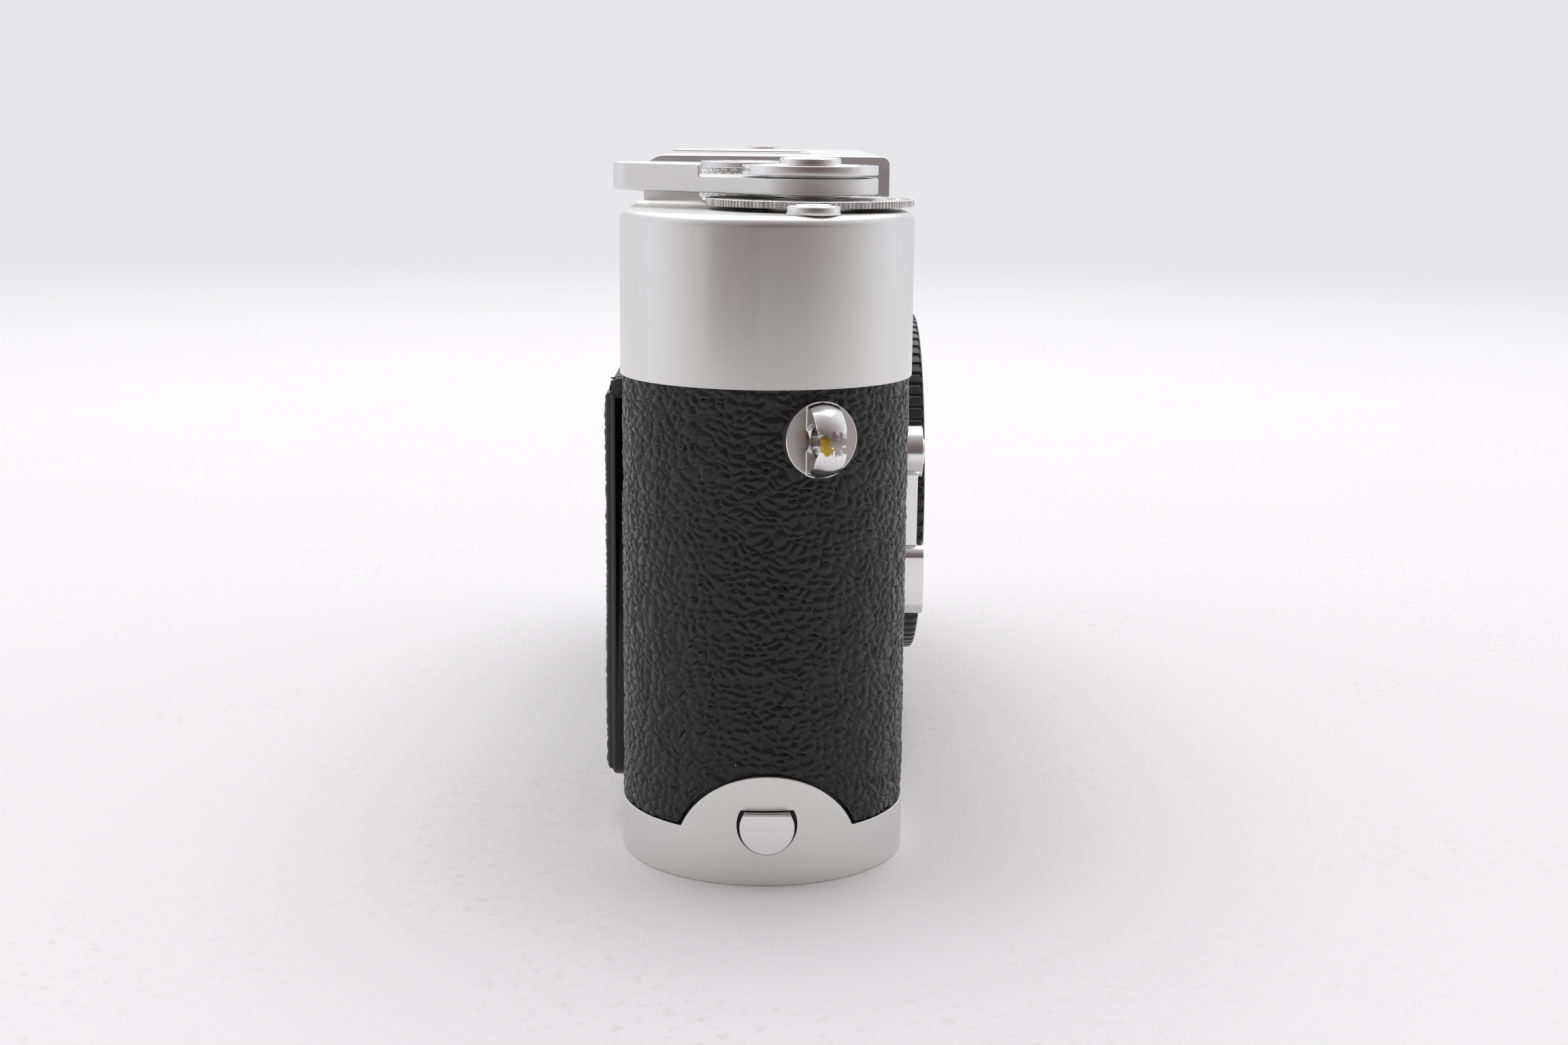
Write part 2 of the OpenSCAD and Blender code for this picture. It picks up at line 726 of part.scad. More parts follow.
// One strap lug in its own frame: a round base and a domed web with the eye through it
module lug() {
  dome_x = covering_d / 2 + 0.05;
  eye_x = dome_x + 2.1;
  sink = 0.35;
  difference() {
    union() {
      bar_x(0, 0, shell_d / 2 - 0.55, covering_d / 2 + 0.65, lug_r);
      intersection() {
        translate([dome_x, 0, 0]) sphere(lug_r);
        box([dome_x, dome_x + 2 * lug_r], [-web_t / 2, web_t / 2], [-lug_r, lug_r]);
      }
    }
    bar_y(eye_x, 0, -lug_r, lug_r, eye_r);
    for (s = [0, 1]) mirror([0, s, 0])
      translate([eye_x, web_t / 2 - sink, 0]) rotate([-90, 0, 0])
        cylinder(h = sink, r1 = eye_r, r2 = eye_r + sink);
  }
}

module strap_lugs() color("gainsboro")
  for (s = [0, 1]) mirror([s, 0, 0]) at_lug() lug();

module end_stud() color("silver")
  stud_bar(near_x + base_step - stud_proud, -inner_l / 2, 0, 0);

module index_boss() color("silver") {
  post(boss_x, wind_y, deck_z, deck_z + 1.05, boss_r);
  post(boss_x, wind_y, deck_z - 1.5, deck_z, rod_r);
}

module counter_bearing() color("silver")
  difference() {
    union() {
      post(wind_x, wind_y, deck_z - 2.5, counter_z0 + counter_t + 0.05, bearing_r);
      post(wind_x, wind_y, deck_z - 2.5, deck_z - cover_t, bearing_r + 1.5);
    }
    post(wind_x, wind_y, deck_z - 4, deck_z + 3, wind_shaft_r + run_gap);
  }

module hinge_brackets() color([0.08, 0.08, 0.085])
  for (x0 = [door_x0 - gap - bracket_t, door_x1 + gap]) difference() {
    union() {
      bar_x(hinge_y, hinge_z, x0, x0 + bracket_t, hinge_r);
      box([x0, x0 + bracket_t], [shell_back, hinge_y], [hinge_z - hinge_r, hinge_z + hinge_r]);
    }
    bar_x(hinge_y, hinge_z, x0 - cut, x0 + bracket_t + cut, pin_r);
  }

module hinge_pin() color("gainsboro")
  bar_x(hinge_y, hinge_z, door_x0 - gap - bracket_t, door_x1 + gap + bracket_t, pin_r);

module self_timer_base() color("silver")
  difference() {
    bar_y(timer_x, timer_z, front_plane + 0.1, shell_front, timer_base_r);
    bar_y(timer_x, timer_z, front_plane - cut, 0, timer_pin_r + run_gap);
  }

module latch_catch() color("silver") {
  x0 = latch_x + latch_r + latch_wall + gap;
  intersection() {
    box([x0, far_x], [-2.5, 2.5], [rim_z - 1.5, rim_z + 1]);
    slab(inner_l, inner_d, 0, deck_z);
  }
  box([x0, x0 + 0.8], [-2.5, 2.5], [latch_top_z - 0.8, rim_z - 1.5]);
}

// Outline of the wind lever seen from above
module lever_outline() {
  translate([wind_x, wind_y]) rotate(lever_angle) tapered_bar(lever_reach, hub_r, tip_r);
}

module lever_arm() color("gainsboro")
  difference() {
    union() {
      translate([0, 0, lever_z0]) linear_extrude(lever_t) lever_outline();
      translate([0, 0, lever_z1]) linear_extrude(cap_z1 - lever_z1) intersection() {
        lever_outline();
        translate([wind_x - hub_r, wind_y + hub_r + 4.7]) square(2 * lever_reach);
      }
    }
    post(wind_x, wind_y, lever_z0 - cut, lever_z1 + cut, cup_r);
  }

module lever_cap() color("silver")
  difference() {
    union() {
      post(wind_x, wind_y, cap_z0, cap_z1, hub_r);
      post(wind_x, wind_y, lever_z1, cap_z0, hub_r - 2);
    }
    post(wind_x, wind_y, lever_z1 - cut, cap_z1 + cut, button_r + 2 * run_gap);
  }

module wind_shaft() color("silver")
  difference() {
    union() {
      post(wind_x, wind_y, spool_z1 + 0.5, lever_z0 - gap, wind_shaft_r);
      post(wind_x, wind_y, lever_z0 - gap, lever_z1, cup_r);
    }
    post(wind_x, wind_y, spool_z1, lever_z1, rod_r + run_gap);
    post(wind_x, wind_y, lever_z0 - gap + cup_floor_t, lever_z1 + cut, button_r + 2 * run_gap);
  }

module wind_gear() color("darkkhaki")
  translate([wind_x, wind_y, gear_z0]) linear_extrude(gear_t) difference() {
    gear_outline(wind_teeth, train_angle);
    circle(wind_shaft_r);
  }

module take_up_spool() color("gray") {
  post(wind_x, wind_y, spool_z0, spool_z1, spool_r);
  post(wind_x, wind_y, spool_z0, spool_z0 + 1.2, spool_flange_r);
  post(wind_x, wind_y, spool_z1 - 1.2, spool_z1, spool_flange_r);
  post(wind_x, wind_y, spool_z1, mech_z + 3, rod_r);
}

module idler_gear() color("darkkhaki")
  translate([idler_x, idler_y, gear_z0]) linear_extrude(gear_t) difference() {
    gear_outline(idler_teeth, train_angle);
    circle(rod_r + run_gap);
  }

module sprocket_roller() color("silver") {
  roll_r = 5;
  tooth_out = 6.2;
  tooth_w = 0.8;
  row = 14;
  post(sprocket_x, sprocket_y, lens_z - film_w / 2, lens_z + film_w / 2, roll_r);
  post(sprocket_x, sprocket_y, lens_z, gear_z0 + gear_t, rod_r);
  for (s = [-1, 1], i = [0 : 7])
    translate([sprocket_x, sprocket_y, lens_z + s * row]) rotate(45 * i)
      bar_x(0, 0, roll_r - tooth_w, tooth_out, tooth_w);
  translate([sprocket_x, sprocket_y, gear_z0]) linear_extrude(gear_t)
    gear_outline(sprocket_teeth, train_angle + 180 + 180 / sprocket_teeth);
}

module counter_disc() color("silver")
  difference() {
    post(wind_x, wind_y, counter_z0, counter_z0 + counter_t, counter_r);
    post(wind_x, wind_y, counter_z0 - cut, counter_z0 + counter_t + cut, bearing_r + run_gap);
  }

module release_button() color("silver") {
  post(wind_x, wind_y, button_z0, button_top, button_r);
  post(wind_x, wind_y, deck_z - 10, button_z0, rod_r);
}

module speed_dial() color("silver") {
  post(dial_x, dial_y, deck_z + 0.2, dial_top, dial_r);
  post(dial_x, dial_y, deck_z - 10, deck_z + 0.2, rod_r);
}

module rewind_sleeve() color("silver")
  difference() {
    post(rewind_x, 0, mech_z - deck_t - 2, deck_z + 0.1, sleeve_r);
    post(rewind_x, 0, mech_z - deck_t - 3, deck_z + cut, rewind_r + run_gap);
  }

module rewind_knob() color("gainsboro")
  difference() {
    post(rewind_x, 0, deck_z + 0.3, deck_z + knob_h, knob_r);
    post(rewind_x, 0, deck_z, deck_z + knob_h + cut, rewind_r);
  }

module rewind_fork() color("silver") {
  post(rewind_x, 0, fork_z1, deck_z + knob_h, rewind_r);
  post(rewind_x, 0, deck_z + knob_h, deck_z + knob_h + 0.9, rewind_r + 0.5);
  difference() {
    post(rewind_x, 0, fork_z1 - fork_h, fork_z1, fork_r);
    box([rewind_x - 0.8, rewind_x + 0.8], [-2 * fork_r, 2 * fork_r],
      [fork_z1 - fork_h - cut, fork_z1 - 1.5]);
  }
}

module self_timer_lever() color("gainsboro") {
  arm_back = front_plane - 0.9;
  bar_y(timer_x, timer_z, timer_front + 0.3, front_plane, timer_hub_r);
  bar_y(timer_x, timer_z, front_plane, inner_front, timer_pin_r);
  on_front(timer_x, timer_z, timer_front + 0.8, arm_back)
    rotate(-90) tapered_bar(timer_reach, 1.8, 1.4);
  on_front(timer_x, timer_z - timer_reach, timer_front - 0.1, front_plane - 0.4)
    round_rect(5, 8.7, 1.5);
}

module self_timer_screw() color("silver")
  bar_y(timer_x, timer_z, timer_front, timer_front + 0.3, timer_hub_r / 2);

module rewind_release() color("silver") {
  on_front(release_x, release_z, front_plane - release_t, front_plane)
    rotate(90) tapered_bar(release_reach, release_hub_r, 1.6);
  bar_y(release_x, release_z, front_plane, inner_front, release_pin_r);
}

module frame_selector() color("gainsboro") {
  on_front(selector_x, selector_z, front_plane - selector_t, front_plane)
    rotate(-90) tapered_bar(selector_reach, selector_hub_r, selector_tip_r);
  bar_y(selector_x, selector_z, front_plane, inner_front, timer_pin_r);
}

module lens_release() color("silver")
  bar_y(lens_release_x, lens_release_z, shell_front - 2.9, inner_front, lens_release_r);

module body_cap() color([0.05, 0.05, 0.055]) {
  y1 = flange_y - 0.1;
  y0 = y1 - cap_t;
  plate = 1.5;
  wall = 1.5;
  difference() {
    bar_y(lens_x, lens_z, y0, y1, cap_r);
    bar_y(lens_x, lens_z, y0 + plate, y1 + cut, cap_r - wall);
  }
  difference() {
    bar_y(lens_x, lens_z, y0 + plate, shell_front + 0.6, throat_r - 0.2);
    bar_y(lens_x, lens_z, y0 + plate, shell_front + cut, throat_r - 0.2 - wall);
  }
}

module rangefinder_arm() color("silver") {
  reach = norm([lens_x - arm_x, follower_y - arm_y]);
  turn = atan2(follower_y - arm_y, lens_x - arm_x);
  translate([arm_x, arm_y, arm_z0]) rotate(turn) linear_extrude(1.4) difference() {
    tapered_bar(reach, 2.4, 1.6);
    circle(timer_pin_r + run_gap);
  }
  post(lens_x, follower_y, arm_z0 - 0.3, arm_z0 + 1.8, 1.8);
}

module base_plate() color([0.78, 0.78, 0.78])
  difference() {
    union() {
      slab(base_l, base_d, 0, rim_z);
      intersection() {
        slab(base_l, base_d, 0, tab_top_z + cut);
        bar_x(tab_y, tab_z, near_x - cut, -end_x, tab_r);
      }
    }
    difference() {
      slab(base_l - 2 * rim_t, base_d - 2 * rim_t, floor_t, tab_top_z + 2 * cut);
      post(latch_x, 0, 0, latch_top_z, latch_r + latch_wall);
    }
    post(latch_x, 0, -cut, latch_floor_z, latch_r);
    post(latch_x, 0, 0, latch_top_z + cut, latch_shaft_r + run_gap);
    post(tripod_x, 0, -cut, floor_t + cut, tripod_wall_r - 1);
    stud_bar(near_x - cut, -end_x - covering_d / 4, stud_gap, stud_flat_gap);
  }

module tripod_bush() color("silver")
  difference() {
    union() {
      post(tripod_x, 0, 0, tripod_depth + 0.8, tripod_wall_r - 1);
      post(tripod_x, 0, floor_t, floor_t + 1.2, tripod_wall_r);
    }
    post(tripod_x, 0, -cut, tripod_depth, tripod_r);
  }

module latch_disc() color("gainsboro") {
  z0 = 0.15;
  z1 = latch_floor_z - 0.15;
  barrel_z = handle_z0 + barrel_r;
  difference() {
    union() {
      post(latch_x, 0, z0, z1, latch_r - 0.1);
      post(latch_x, 0, z1, latch_top_z + 0.3, latch_shaft_r);
      post(latch_x, 0, latch_top_z + 0.3, latch_top_z + 1.4, latch_shaft_r + 1);
      box([latch_x, latch_x + cam_reach], [-1.6, 1.6], [latch_top_z + 0.3, latch_top_z + 1.4]);
    }
    difference() {
      post(latch_x, 0, z0 - cut, handle_z0 + handle_t + 0.25, handle_r + 0.3);
      box([latch_x - latch_r, latch_x + latch_r], [-latch_r, -1], [z0 - 2 * cut, z1]);
    }
    box([latch_x - barrel_l / 2 - 0.1, latch_x + barrel_l / 2 + 0.1], [-1, 1],
      [z0 - cut, handle_z0 + 2 * barrel_r + 0.1]);
    bar_x(0, barrel_z, latch_x - handle_r - 0.7, latch_x + handle_r + 0.7,
      handle_pin_r + run_gap);
  }
}

module latch_handle() color("silver") {
  barrel_z = handle_z0 + barrel_r;
  bar_x(0, barrel_z, latch_x - barrel_l / 2, latch_x + barrel_l / 2, barrel_r);
  bar_x(0, barrel_z, latch_x - handle_r - 0.6, latch_x + handle_r + 0.6, handle_pin_r);
  difference() {
    post(latch_x, 0, handle_z0, handle_z0 + handle_t, handle_r);
    box([latch_x - latch_r, latch_x + latch_r], [-latch_r, 0], [-cut, handle_z0 + 2]);
    post(latch_x, 0, -cut, handle_z0 + 2, 2.2);
  }
}

// Space of the door between its side edges, with round corners at its bottom and top
module door_outline(y0, y1, inset) {
  z1 = hinge_z + hinge_r;
  on_front(door_x, (door_z0 + z1) / 2, y0, y1)
    round_rect(door_w - 2 * inset, z1 - door_z0 - 2 * inset, door_corner_r - inset);
}

module back_door() color([0.08, 0.08, 0.085])
  difference() {
    intersection() {
      union() {
        box([door_x0, door_x1], [door_y0, door_y1], [door_z0, hinge_z]);
        bar_x(hinge_y, hinge_z, door_x0, door_x1, hinge_r);
      }
      door_outline(door_y0 - cut, door_y1 + cut, 0);
    }
    box([opening_x0 + 1, opening_x1 - 1], [door_y0 - cut, door_y1 - door_plate_t],
      [opening_z0 + 1, opening_z1 - 1.5]);
    bar_x(hinge_y, hinge_z, door_x0 - cut, door_x1 + cut, pin_r + run_gap);
    bar_y(door_x, reminder_z, door_y0 - cut, door_y1 + cut, rod_r + run_gap);
  }

module door_covering() color([0.06, 0.06, 0.065])
  difference() {
    intersection() {
      door_outline(door_y1, door_y1 + door_skin_t, door_t / 4);
      box([door_x0, door_x1], [door_y1, door_y1 + door_skin_t], [door_z0, hinge_z - 0.6]);
    }
    bar_y(door_x, reminder_z, door_y1 - cut, door_y1 + door_skin_t + cut, reminder_r + gap);
  }

module pressure_plate() color([0.1, 0.1, 0.1]) {
  box([lens_x - plate_w / 2, lens_x + plate_w / 2], [plate_y0, plate_y0 + plate_t],
    [lens_z - plate_h / 2, lens_z + plate_h / 2]);
  for (s = [-1, 1]) bar_y(lens_x + s * plate_w / 3, lens_z, plate_y0 + plate_t,
    door_y1 - door_plate_t - 0.7, 2);
}

module reminder_disc() color("silver") {
  bar_y(door_x, reminder_z, door_y1 + 0.05, door_y1 + door_skin_t + 0.2, reminder_r);
  bar_y(door_x, reminder_z, door_y1 - door_plate_t, door_y1 + 0.05, rod_r);
}

body_shell();
body_covering();
mechanism_deck();
light_chamber();
film_gate_frame();
cassette_chamber();
shutter_curtain();
curtain_roller();
top_cover();
window_frames();
viewfinder_window();
frosted_window();
rangefinder_window();
eyepiece_ring();
eyepiece_lens();
viewfinder_block();
rangefinder_bar();
accessory_shoe();
shoe_screws();
flash_sockets();
lens_flange();
flange_screws();
release_guard();
strap_lugs();
end_stud();
index_boss();
counter_bearing();
hinge_brackets();
hinge_pin();
self_timer_base();
latch_catch();
lever_arm();
lever_cap();
wind_shaft();
wind_gear();
take_up_spool();
idler_gear();
sprocket_roller();
counter_disc();
release_button();
speed_dial();
rewind_sleeve();
rewind_knob();
rewind_fork();
self_timer_lever();
self_timer_screw();
rewind_release();
frame_selector();
lens_release();
body_cap();
rangefinder_arm();
base_plate();
tripod_bush();
latch_disc();
latch_handle();
back_door();
door_covering();
pressure_plate();
reminder_disc();
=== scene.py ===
"""Looks of a rangefinder film camera body that stands on its base plate, mount cap on.

Every length is in metres and in the CAD frame: X runs along the body, the front faces -Y and
+Z is up. Places and overall sizes come from the CAD nodes; a class's own fields hold the sizes
of the detail that it adds.
"""

from __future__ import annotations

import json
import logging
import math
from dataclasses import dataclass
from enum import Enum
from typing import Callable, Sequence

import bmesh
import bpy
import numpy as np
from mathutils import Matrix, Vector

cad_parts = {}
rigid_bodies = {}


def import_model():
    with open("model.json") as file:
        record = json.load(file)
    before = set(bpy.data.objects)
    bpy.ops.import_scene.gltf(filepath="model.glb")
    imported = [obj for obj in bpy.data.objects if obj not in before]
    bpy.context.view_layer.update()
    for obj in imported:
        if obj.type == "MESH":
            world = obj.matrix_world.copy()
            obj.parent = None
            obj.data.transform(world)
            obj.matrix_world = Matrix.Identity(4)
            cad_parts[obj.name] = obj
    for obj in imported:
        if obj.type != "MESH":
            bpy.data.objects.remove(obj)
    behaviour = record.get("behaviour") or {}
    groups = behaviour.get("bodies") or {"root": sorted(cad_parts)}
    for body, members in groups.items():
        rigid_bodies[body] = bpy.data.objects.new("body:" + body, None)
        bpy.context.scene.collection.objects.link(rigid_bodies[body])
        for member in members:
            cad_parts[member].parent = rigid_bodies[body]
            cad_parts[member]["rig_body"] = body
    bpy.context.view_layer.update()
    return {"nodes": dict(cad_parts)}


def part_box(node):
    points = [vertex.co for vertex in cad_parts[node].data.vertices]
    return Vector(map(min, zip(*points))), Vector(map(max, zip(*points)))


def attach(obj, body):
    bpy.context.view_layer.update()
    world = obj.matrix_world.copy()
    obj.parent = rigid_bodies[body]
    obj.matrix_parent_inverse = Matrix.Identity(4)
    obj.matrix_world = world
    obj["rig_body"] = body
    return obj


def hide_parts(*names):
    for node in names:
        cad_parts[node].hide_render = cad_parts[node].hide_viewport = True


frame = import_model()

MM = 0.001
MERGE = 1e-6
SHARP = 35.0
FLAT = 0.2
LOG = logging.getLogger("camera_looks")

Colour = tuple[float, float, float]
Corners = Sequence[tuple[float, float, float]]
Piece = bpy.types.Object


class Slot(Enum):
    """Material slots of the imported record."""

    SATIN = "satin_chrome"
    POLISHED = "polished_chrome"
    STEEL = "steel"
    BRASS = "brass"
    COVERING = "grain_covering"
    ENAMEL = "black_enamel"
    CAST = "die_cast"
    PLASTIC = "black_plastic"
    CLOTH = "curtain_cloth"
    GLASS = "optical_glass"
    FROSTED = "frosted_glass"


class Axis(Enum):
    """Direction that a turned piece's own axis, or a marked face, points in."""

    UP = "z"
    FRONT = "-y"
    BACK = "y"

    def points(self, across: np.ndarray, along: np.ndarray, height: np.ndarray) -> np.ndarray:
        """Places whose height runs along this axis."""
        ways = {
            Axis.UP: (across, along, height),
            Axis.FRONT: (across, -height, along),
            Axis.BACK: (-across, height, along),
        }
        return np.stack(ways[self], axis=-1)


# ---- shader maths


class Value:
    """A shader socket that takes part in arithmetic."""

    def __init__(self, tree: "Shading", socket: bpy.types.NodeSocket) -> None:
        """Wraps socket, an output of a node in tree."""
        self.tree = tree
        self.socket = socket

    def _math(self, operation: str, *others: "Value | float", flip: bool = False) -> "Value":
        """Adds a Math node.

        Args:
            operation: the node's operation.
            others: the other operands.
            flip: whether this socket is the second operand.

        Returns:
            The node's result.
        """
        terms = [*others, self] if flip else [self, *others]
        return self.tree.node(
            "ShaderNodeMath", {"operation": operation}, dict(enumerate(terms))
        )

    def __add__(self, other: "Value | float") -> "Value":
        """This plus other."""
        return self._math("ADD", other)

    def __sub__(self, other: "Value | float") -> "Value":
        """This minus other."""
        return self._math("SUBTRACT", other)

    def __rsub__(self, other: float) -> "Value":
        """Other minus this."""
        return self._math("SUBTRACT", other, flip=True)

    def __mul__(self, other: "Value | float") -> "Value":
        """This times other."""
        return self._math("MULTIPLY", other)

    __radd__ = __add__
    __rmul__ = __mul__

    def above(self, low: float, high: float) -> "Value":
        """0 below low, 1 above high, and a smooth rise between them."""
        return self.tree.node(
            "ShaderNodeMapRange",
            {"interpolation_type": "SMOOTHSTEP"},
            {"Value": self, "From Min": low, "From Max": high},
        )

    def below(self, low: float, high: float) -> "Value":
        """1 below low, 0 above high, and a smooth fall between them."""
        return 1.0 - self.above(low, high)


class Shading:
    """Node tree of one material or world."""

    def __init__(self, name: str, world: bool = False) -> None:
        """Makes an empty material, or an empty world, called name."""
        self.holder = (bpy.data.worlds if world else bpy.data.materials).new(name)
        self.holder.use_nodes = True
        self.nodes = self.holder.node_tree.nodes
        self.links = self.holder.node_tree.links
        self.nodes.clear()

    def node(
        self,
        kind: str,
        settings: dict | None = None,
        inputs: dict | None = None,
        output: int | str = 0,
    ) -> Value:
        """Adds one node.

        Args:
            kind: the node's type.
            settings: properties that are set first; "stops" holds a smooth ramp's stops.
            inputs: numbers, colours or Values by socket name or number.
            output: the output socket that is returned.

        Returns:
            That output socket.
        """
        made = self.nodes.new(kind)
        for key, value in (settings or {}).items():
            if key == "stops":
                made.color_ramp.interpolation = "B_SPLINE"
                elements = made.color_ramp.elements
                for i, (place, colour) in enumerate(value):
                    stop = elements[i] if i < 2 else elements.new(place)
                    stop.position, stop.color = place, (*colour, 1)
            else:
                setattr(made, key, value)
        for key, value in (inputs or {}).items():
            if isinstance(value, Value):
                self.links.new(value.socket, made.inputs[key])
            else:
                made.inputs[key].default_value = value
        return Value(self, made.outputs[output] if made.outputs else None)

    def place(self) -> Value:
        """Object coordinates."""
        return self.node("ShaderNodeTexCoord", output="Object")

    def stretched(self, scale: Sequence[float]) -> Value:
        """Object coordinates with each axis scaled by its own factor."""
        return self.node("ShaderNodeMapping", None, {"Vector": self.place(), "Scale": scale})

    def noise(self, size: float, detail: float = 2.0, vector: Value | None = None) -> Value:
        """Noise whose blobs are about size metres across, from 0 to 1."""
        return self.node(
            "ShaderNodeTexNoise",
            None,
            {"Vector": vector or self.place(), "Scale": 1 / size, "Detail": detail},
        )

    def specks(self, size: float, share: float, radius: float) -> Value:
        """Round specks on a random share of cells.

        Args:
            size: distance between cells.
            share: share of the cells that hold a speck.
            radius: radius of a speck over the size of its cell.

        Returns:
            1 in a speck and 0 outside.
        """
        cells = {"Vector": self.place(), "Scale": 1 / size}
        near = self.node("ShaderNodeTexVoronoi", None, cells, "Distance")
        chance = self.node("ShaderNodeTexVoronoi", None, cells, "Color")
        red = self.node("ShaderNodeSeparateColor", None, {0: chance})
        return near.below(radius * 0.7, radius) * red.above(1 - share, 1 - share * 0.9)

    def mix(self, share: Value | float, first: Value | tuple, second: Value | tuple) -> Value:
        """Colour that is first where share is 0 and second where it is 1."""
        pair = {
            key: (c if isinstance(c, Value) else (*c, 1.0)) for key, c in ((6, first), (7, second))
        }
        return self.node("ShaderNodeMix", {"data_type": "RGBA"}, {0: share, **pair}, 2)

    def bump(self, height: Value, distance: float) -> Value:
        """Normal of a surface whose relief is height times distance."""
        inputs = {"Height": height, "Distance": distance, "Strength": 1.0}
        return self.node("ShaderNodeBump", None, inputs)

    def surface(self, **inputs: Value | float | tuple) -> bpy.types.Material:
        """Ends the tree with a Principled shader; an underscore in a name is a space."""
        named = {key.replace("_", " "): value for key, value in inputs.items()}
        for key, value in named.items():
            if isinstance(value, tuple) and len(value) == 3:
                named[key] = (*value, 1.0)
        shader = self.node("ShaderNodeBsdfPrincipled", None, named)
        self.node("ShaderNodeOutputMaterial", None, {"Surface": shader})
        return self.holder


# ---- finishes


@dataclass(frozen=True)
class Metal:
    """Plated or bare metal with blasted grain, soft stains and fine scuffs."""

    name: str
    tint: Colour
    roughness: float
    grain: float = 0.12 * MM
    relief: float = 0.0006 * MM
    stain: Colour = (0.42, 0.36, 0.30)
    stains: float = 0.0
    turned: bool = False

    def make(self) -> bpy.types.Material:
        """The material: noise drives tone and roughness, and a fine bump gives the grain."""
        s = Shading(self.name)
        cloud = s.noise(14 * MM, 3)
        smear = s.noise(2.2 * MM, 4, s.stretched((1.0, 1.0, 0.35)))
        tone = s.mix(cloud * 0.35, self.tint, tuple(c * 0.9 for c in self.tint))
        if self.stains:
            dirt = s.specks(2.6 * MM, self.stains, 0.12) * s.noise(0.4 * MM).above(0.35, 0.6)
            tone = s.mix(dirt, tone, self.stain)
        scuff = smear.above(0.62, 0.72) * cloud.above(0.45, 0.6)
        turning = s.stretched((1.0, 1.0, 14.0)) if self.turned else None
        grain = s.noise(self.grain, 1 if self.turned else 2, turning)
        return s.surface(
            Base_Color=tone,
            Metallic=1.0,
            Roughness=self.roughness + 0.06 * cloud + 0.1 * scuff - 0.03,
            Normal=s.bump(grain, self.relief),
        )


@dataclass(frozen=True)
class WornLug:
    """Polished plating, worn to brass where a strap ring rubs and dull brown beside it."""

    name: str
    rubs: tuple[Vector, ...]
    stains: tuple[Vector, ...]
    tint: Colour = (0.86, 0.85, 0.85)
    brass: Colour = (0.50, 0.33, 0.06)
    dirt: Colour = (0.20, 0.16, 0.15)

    def around(self, s: Shading, centres: Sequence[Vector], size: float, ragged: Value) -> Value:
        """1 within about size of any of the centres, with a ragged edge, and 0 further away."""
        found: Value | float = 0.0
        for centre in centres:
            inputs = {0: s.place(), 1: centre}
            far = s.node("ShaderNodeVectorMath", {"operation": "DISTANCE"}, inputs, "Value")
            edge = far + (ragged - 0.5) * (size * 3.0)
            found = edge.below(size * 0.9, size * 1.05) + found
        return found

    def make(self) -> bpy.types.Material:
        """The material: distances to the worn places, broken up by noise, mix the metals."""
        s = Shading(self.name)
        rub = self.around(s, self.rubs, 1.0 * MM, s.noise(0.9 * MM, 3))
        stain = self.around(s, self.stains, 1.2 * MM, s.noise(0.6 * MM, 6))
        scratch = s.noise(0.5 * MM, 3, s.stretched((1.0, 1.0, 5.0))).above(0.66, 0.7)
        tone = s.mix(stain * 0.75, self.tint, self.dirt)
        tone = s.mix(scratch * 0.35, tone, self.dirt)
        tone = s.mix(rub, tone, self.brass)
        return s.surface(
            Base_Color=tone,
            Metallic=1.0,
            Roughness=0.13 + 0.2 * stain + 0.2 * rub + 0.1 * scratch,
            Normal=s.bump(s.noise(0.9 * MM, 3), 0.01 * MM),
        )


@dataclass(frozen=True)
class Leather:
    """Near-black pebbled covering; its crease attribute is 1 at the bottom of a crease, where the
    colour is painted darker as shade.
    """

    name: str
    top: Colour = (0.0075, 0.0080, 0.0090)
    # painted shade: the darker colour painted into the creases
    crease: Colour = (0.0035, 0.0035, 0.0040)
    patch: Colour = (0.0110, 0.0108, 0.0108)
    dust: Colour = (0.42, 0.41, 0.39)

    def make(self) -> bpy.types.Material:
        """The material: tone darkened in the creases as painted shade, fine wrinkles as bump, and
        specks of dust.
        """
        s = Shading(self.name)
        crease = s.node("ShaderNodeAttribute", {"attribute_name": "crease"}, None, "Fac")
        patch = s.noise(9 * MM, 2)
        dust = s.specks(1.9 * MM, 0.05, 0.045)
        # painted shade: the crease share mixes the colour towards the darker crease tone
        tone = s.mix(crease, self.top, self.crease)
        tone = s.mix(patch * 0.35, tone, self.patch)
        tone = s.mix(dust, tone, self.dust)
        return s.surface(
            Base_Color=tone,
            Roughness=0.22 + 0.1 * patch + 0.2 * crease,
            Specular_IOR_Level=0.42,
            Normal=s.bump(s.noise(0.16 * MM, 3), 0.011 * MM),
        )


@dataclass(frozen=True)
class Coating:
    """Paint, enamel, plastic or cast metal: a plain tone with fine texture and handling marks."""

    name: str
    tint: Colour
    roughness: float
    grain: float = 0.25 * MM
    relief: float = 0.004 * MM
    metallic: float = 0.0
    edge: Colour | None = None

    def make(self) -> bpy.types.Material:
        """The material: clouds vary tone and roughness, and raised edges may be rubbed pale."""
        s = Shading(self.name)
        cloud = s.noise(6 * MM, 4)
        tone = s.mix(cloud * 0.5, self.tint, tuple(c * 1.5 + 0.002 for c in self.tint))
        if self.edge:
            worn = s.node("ShaderNodeNewGeometry", None, None, "Pointiness").above(0.53, 0.6)
            tone = s.mix(worn * s.noise(0.8 * MM, 4).above(0.45, 0.6), tone, self.edge)
        dust = s.specks(1.4 * MM, 0.03, 0.05)
        return s.surface(
            Base_Color=s.mix(dust * 0.5, tone, (0.4, 0.4, 0.39)),
            Metallic=self.metallic,
            Roughness=self.roughness + 0.12 * cloud + 0.2 * dust,
            Normal=s.bump(s.noise(self.grain, 2), self.relief),
        )


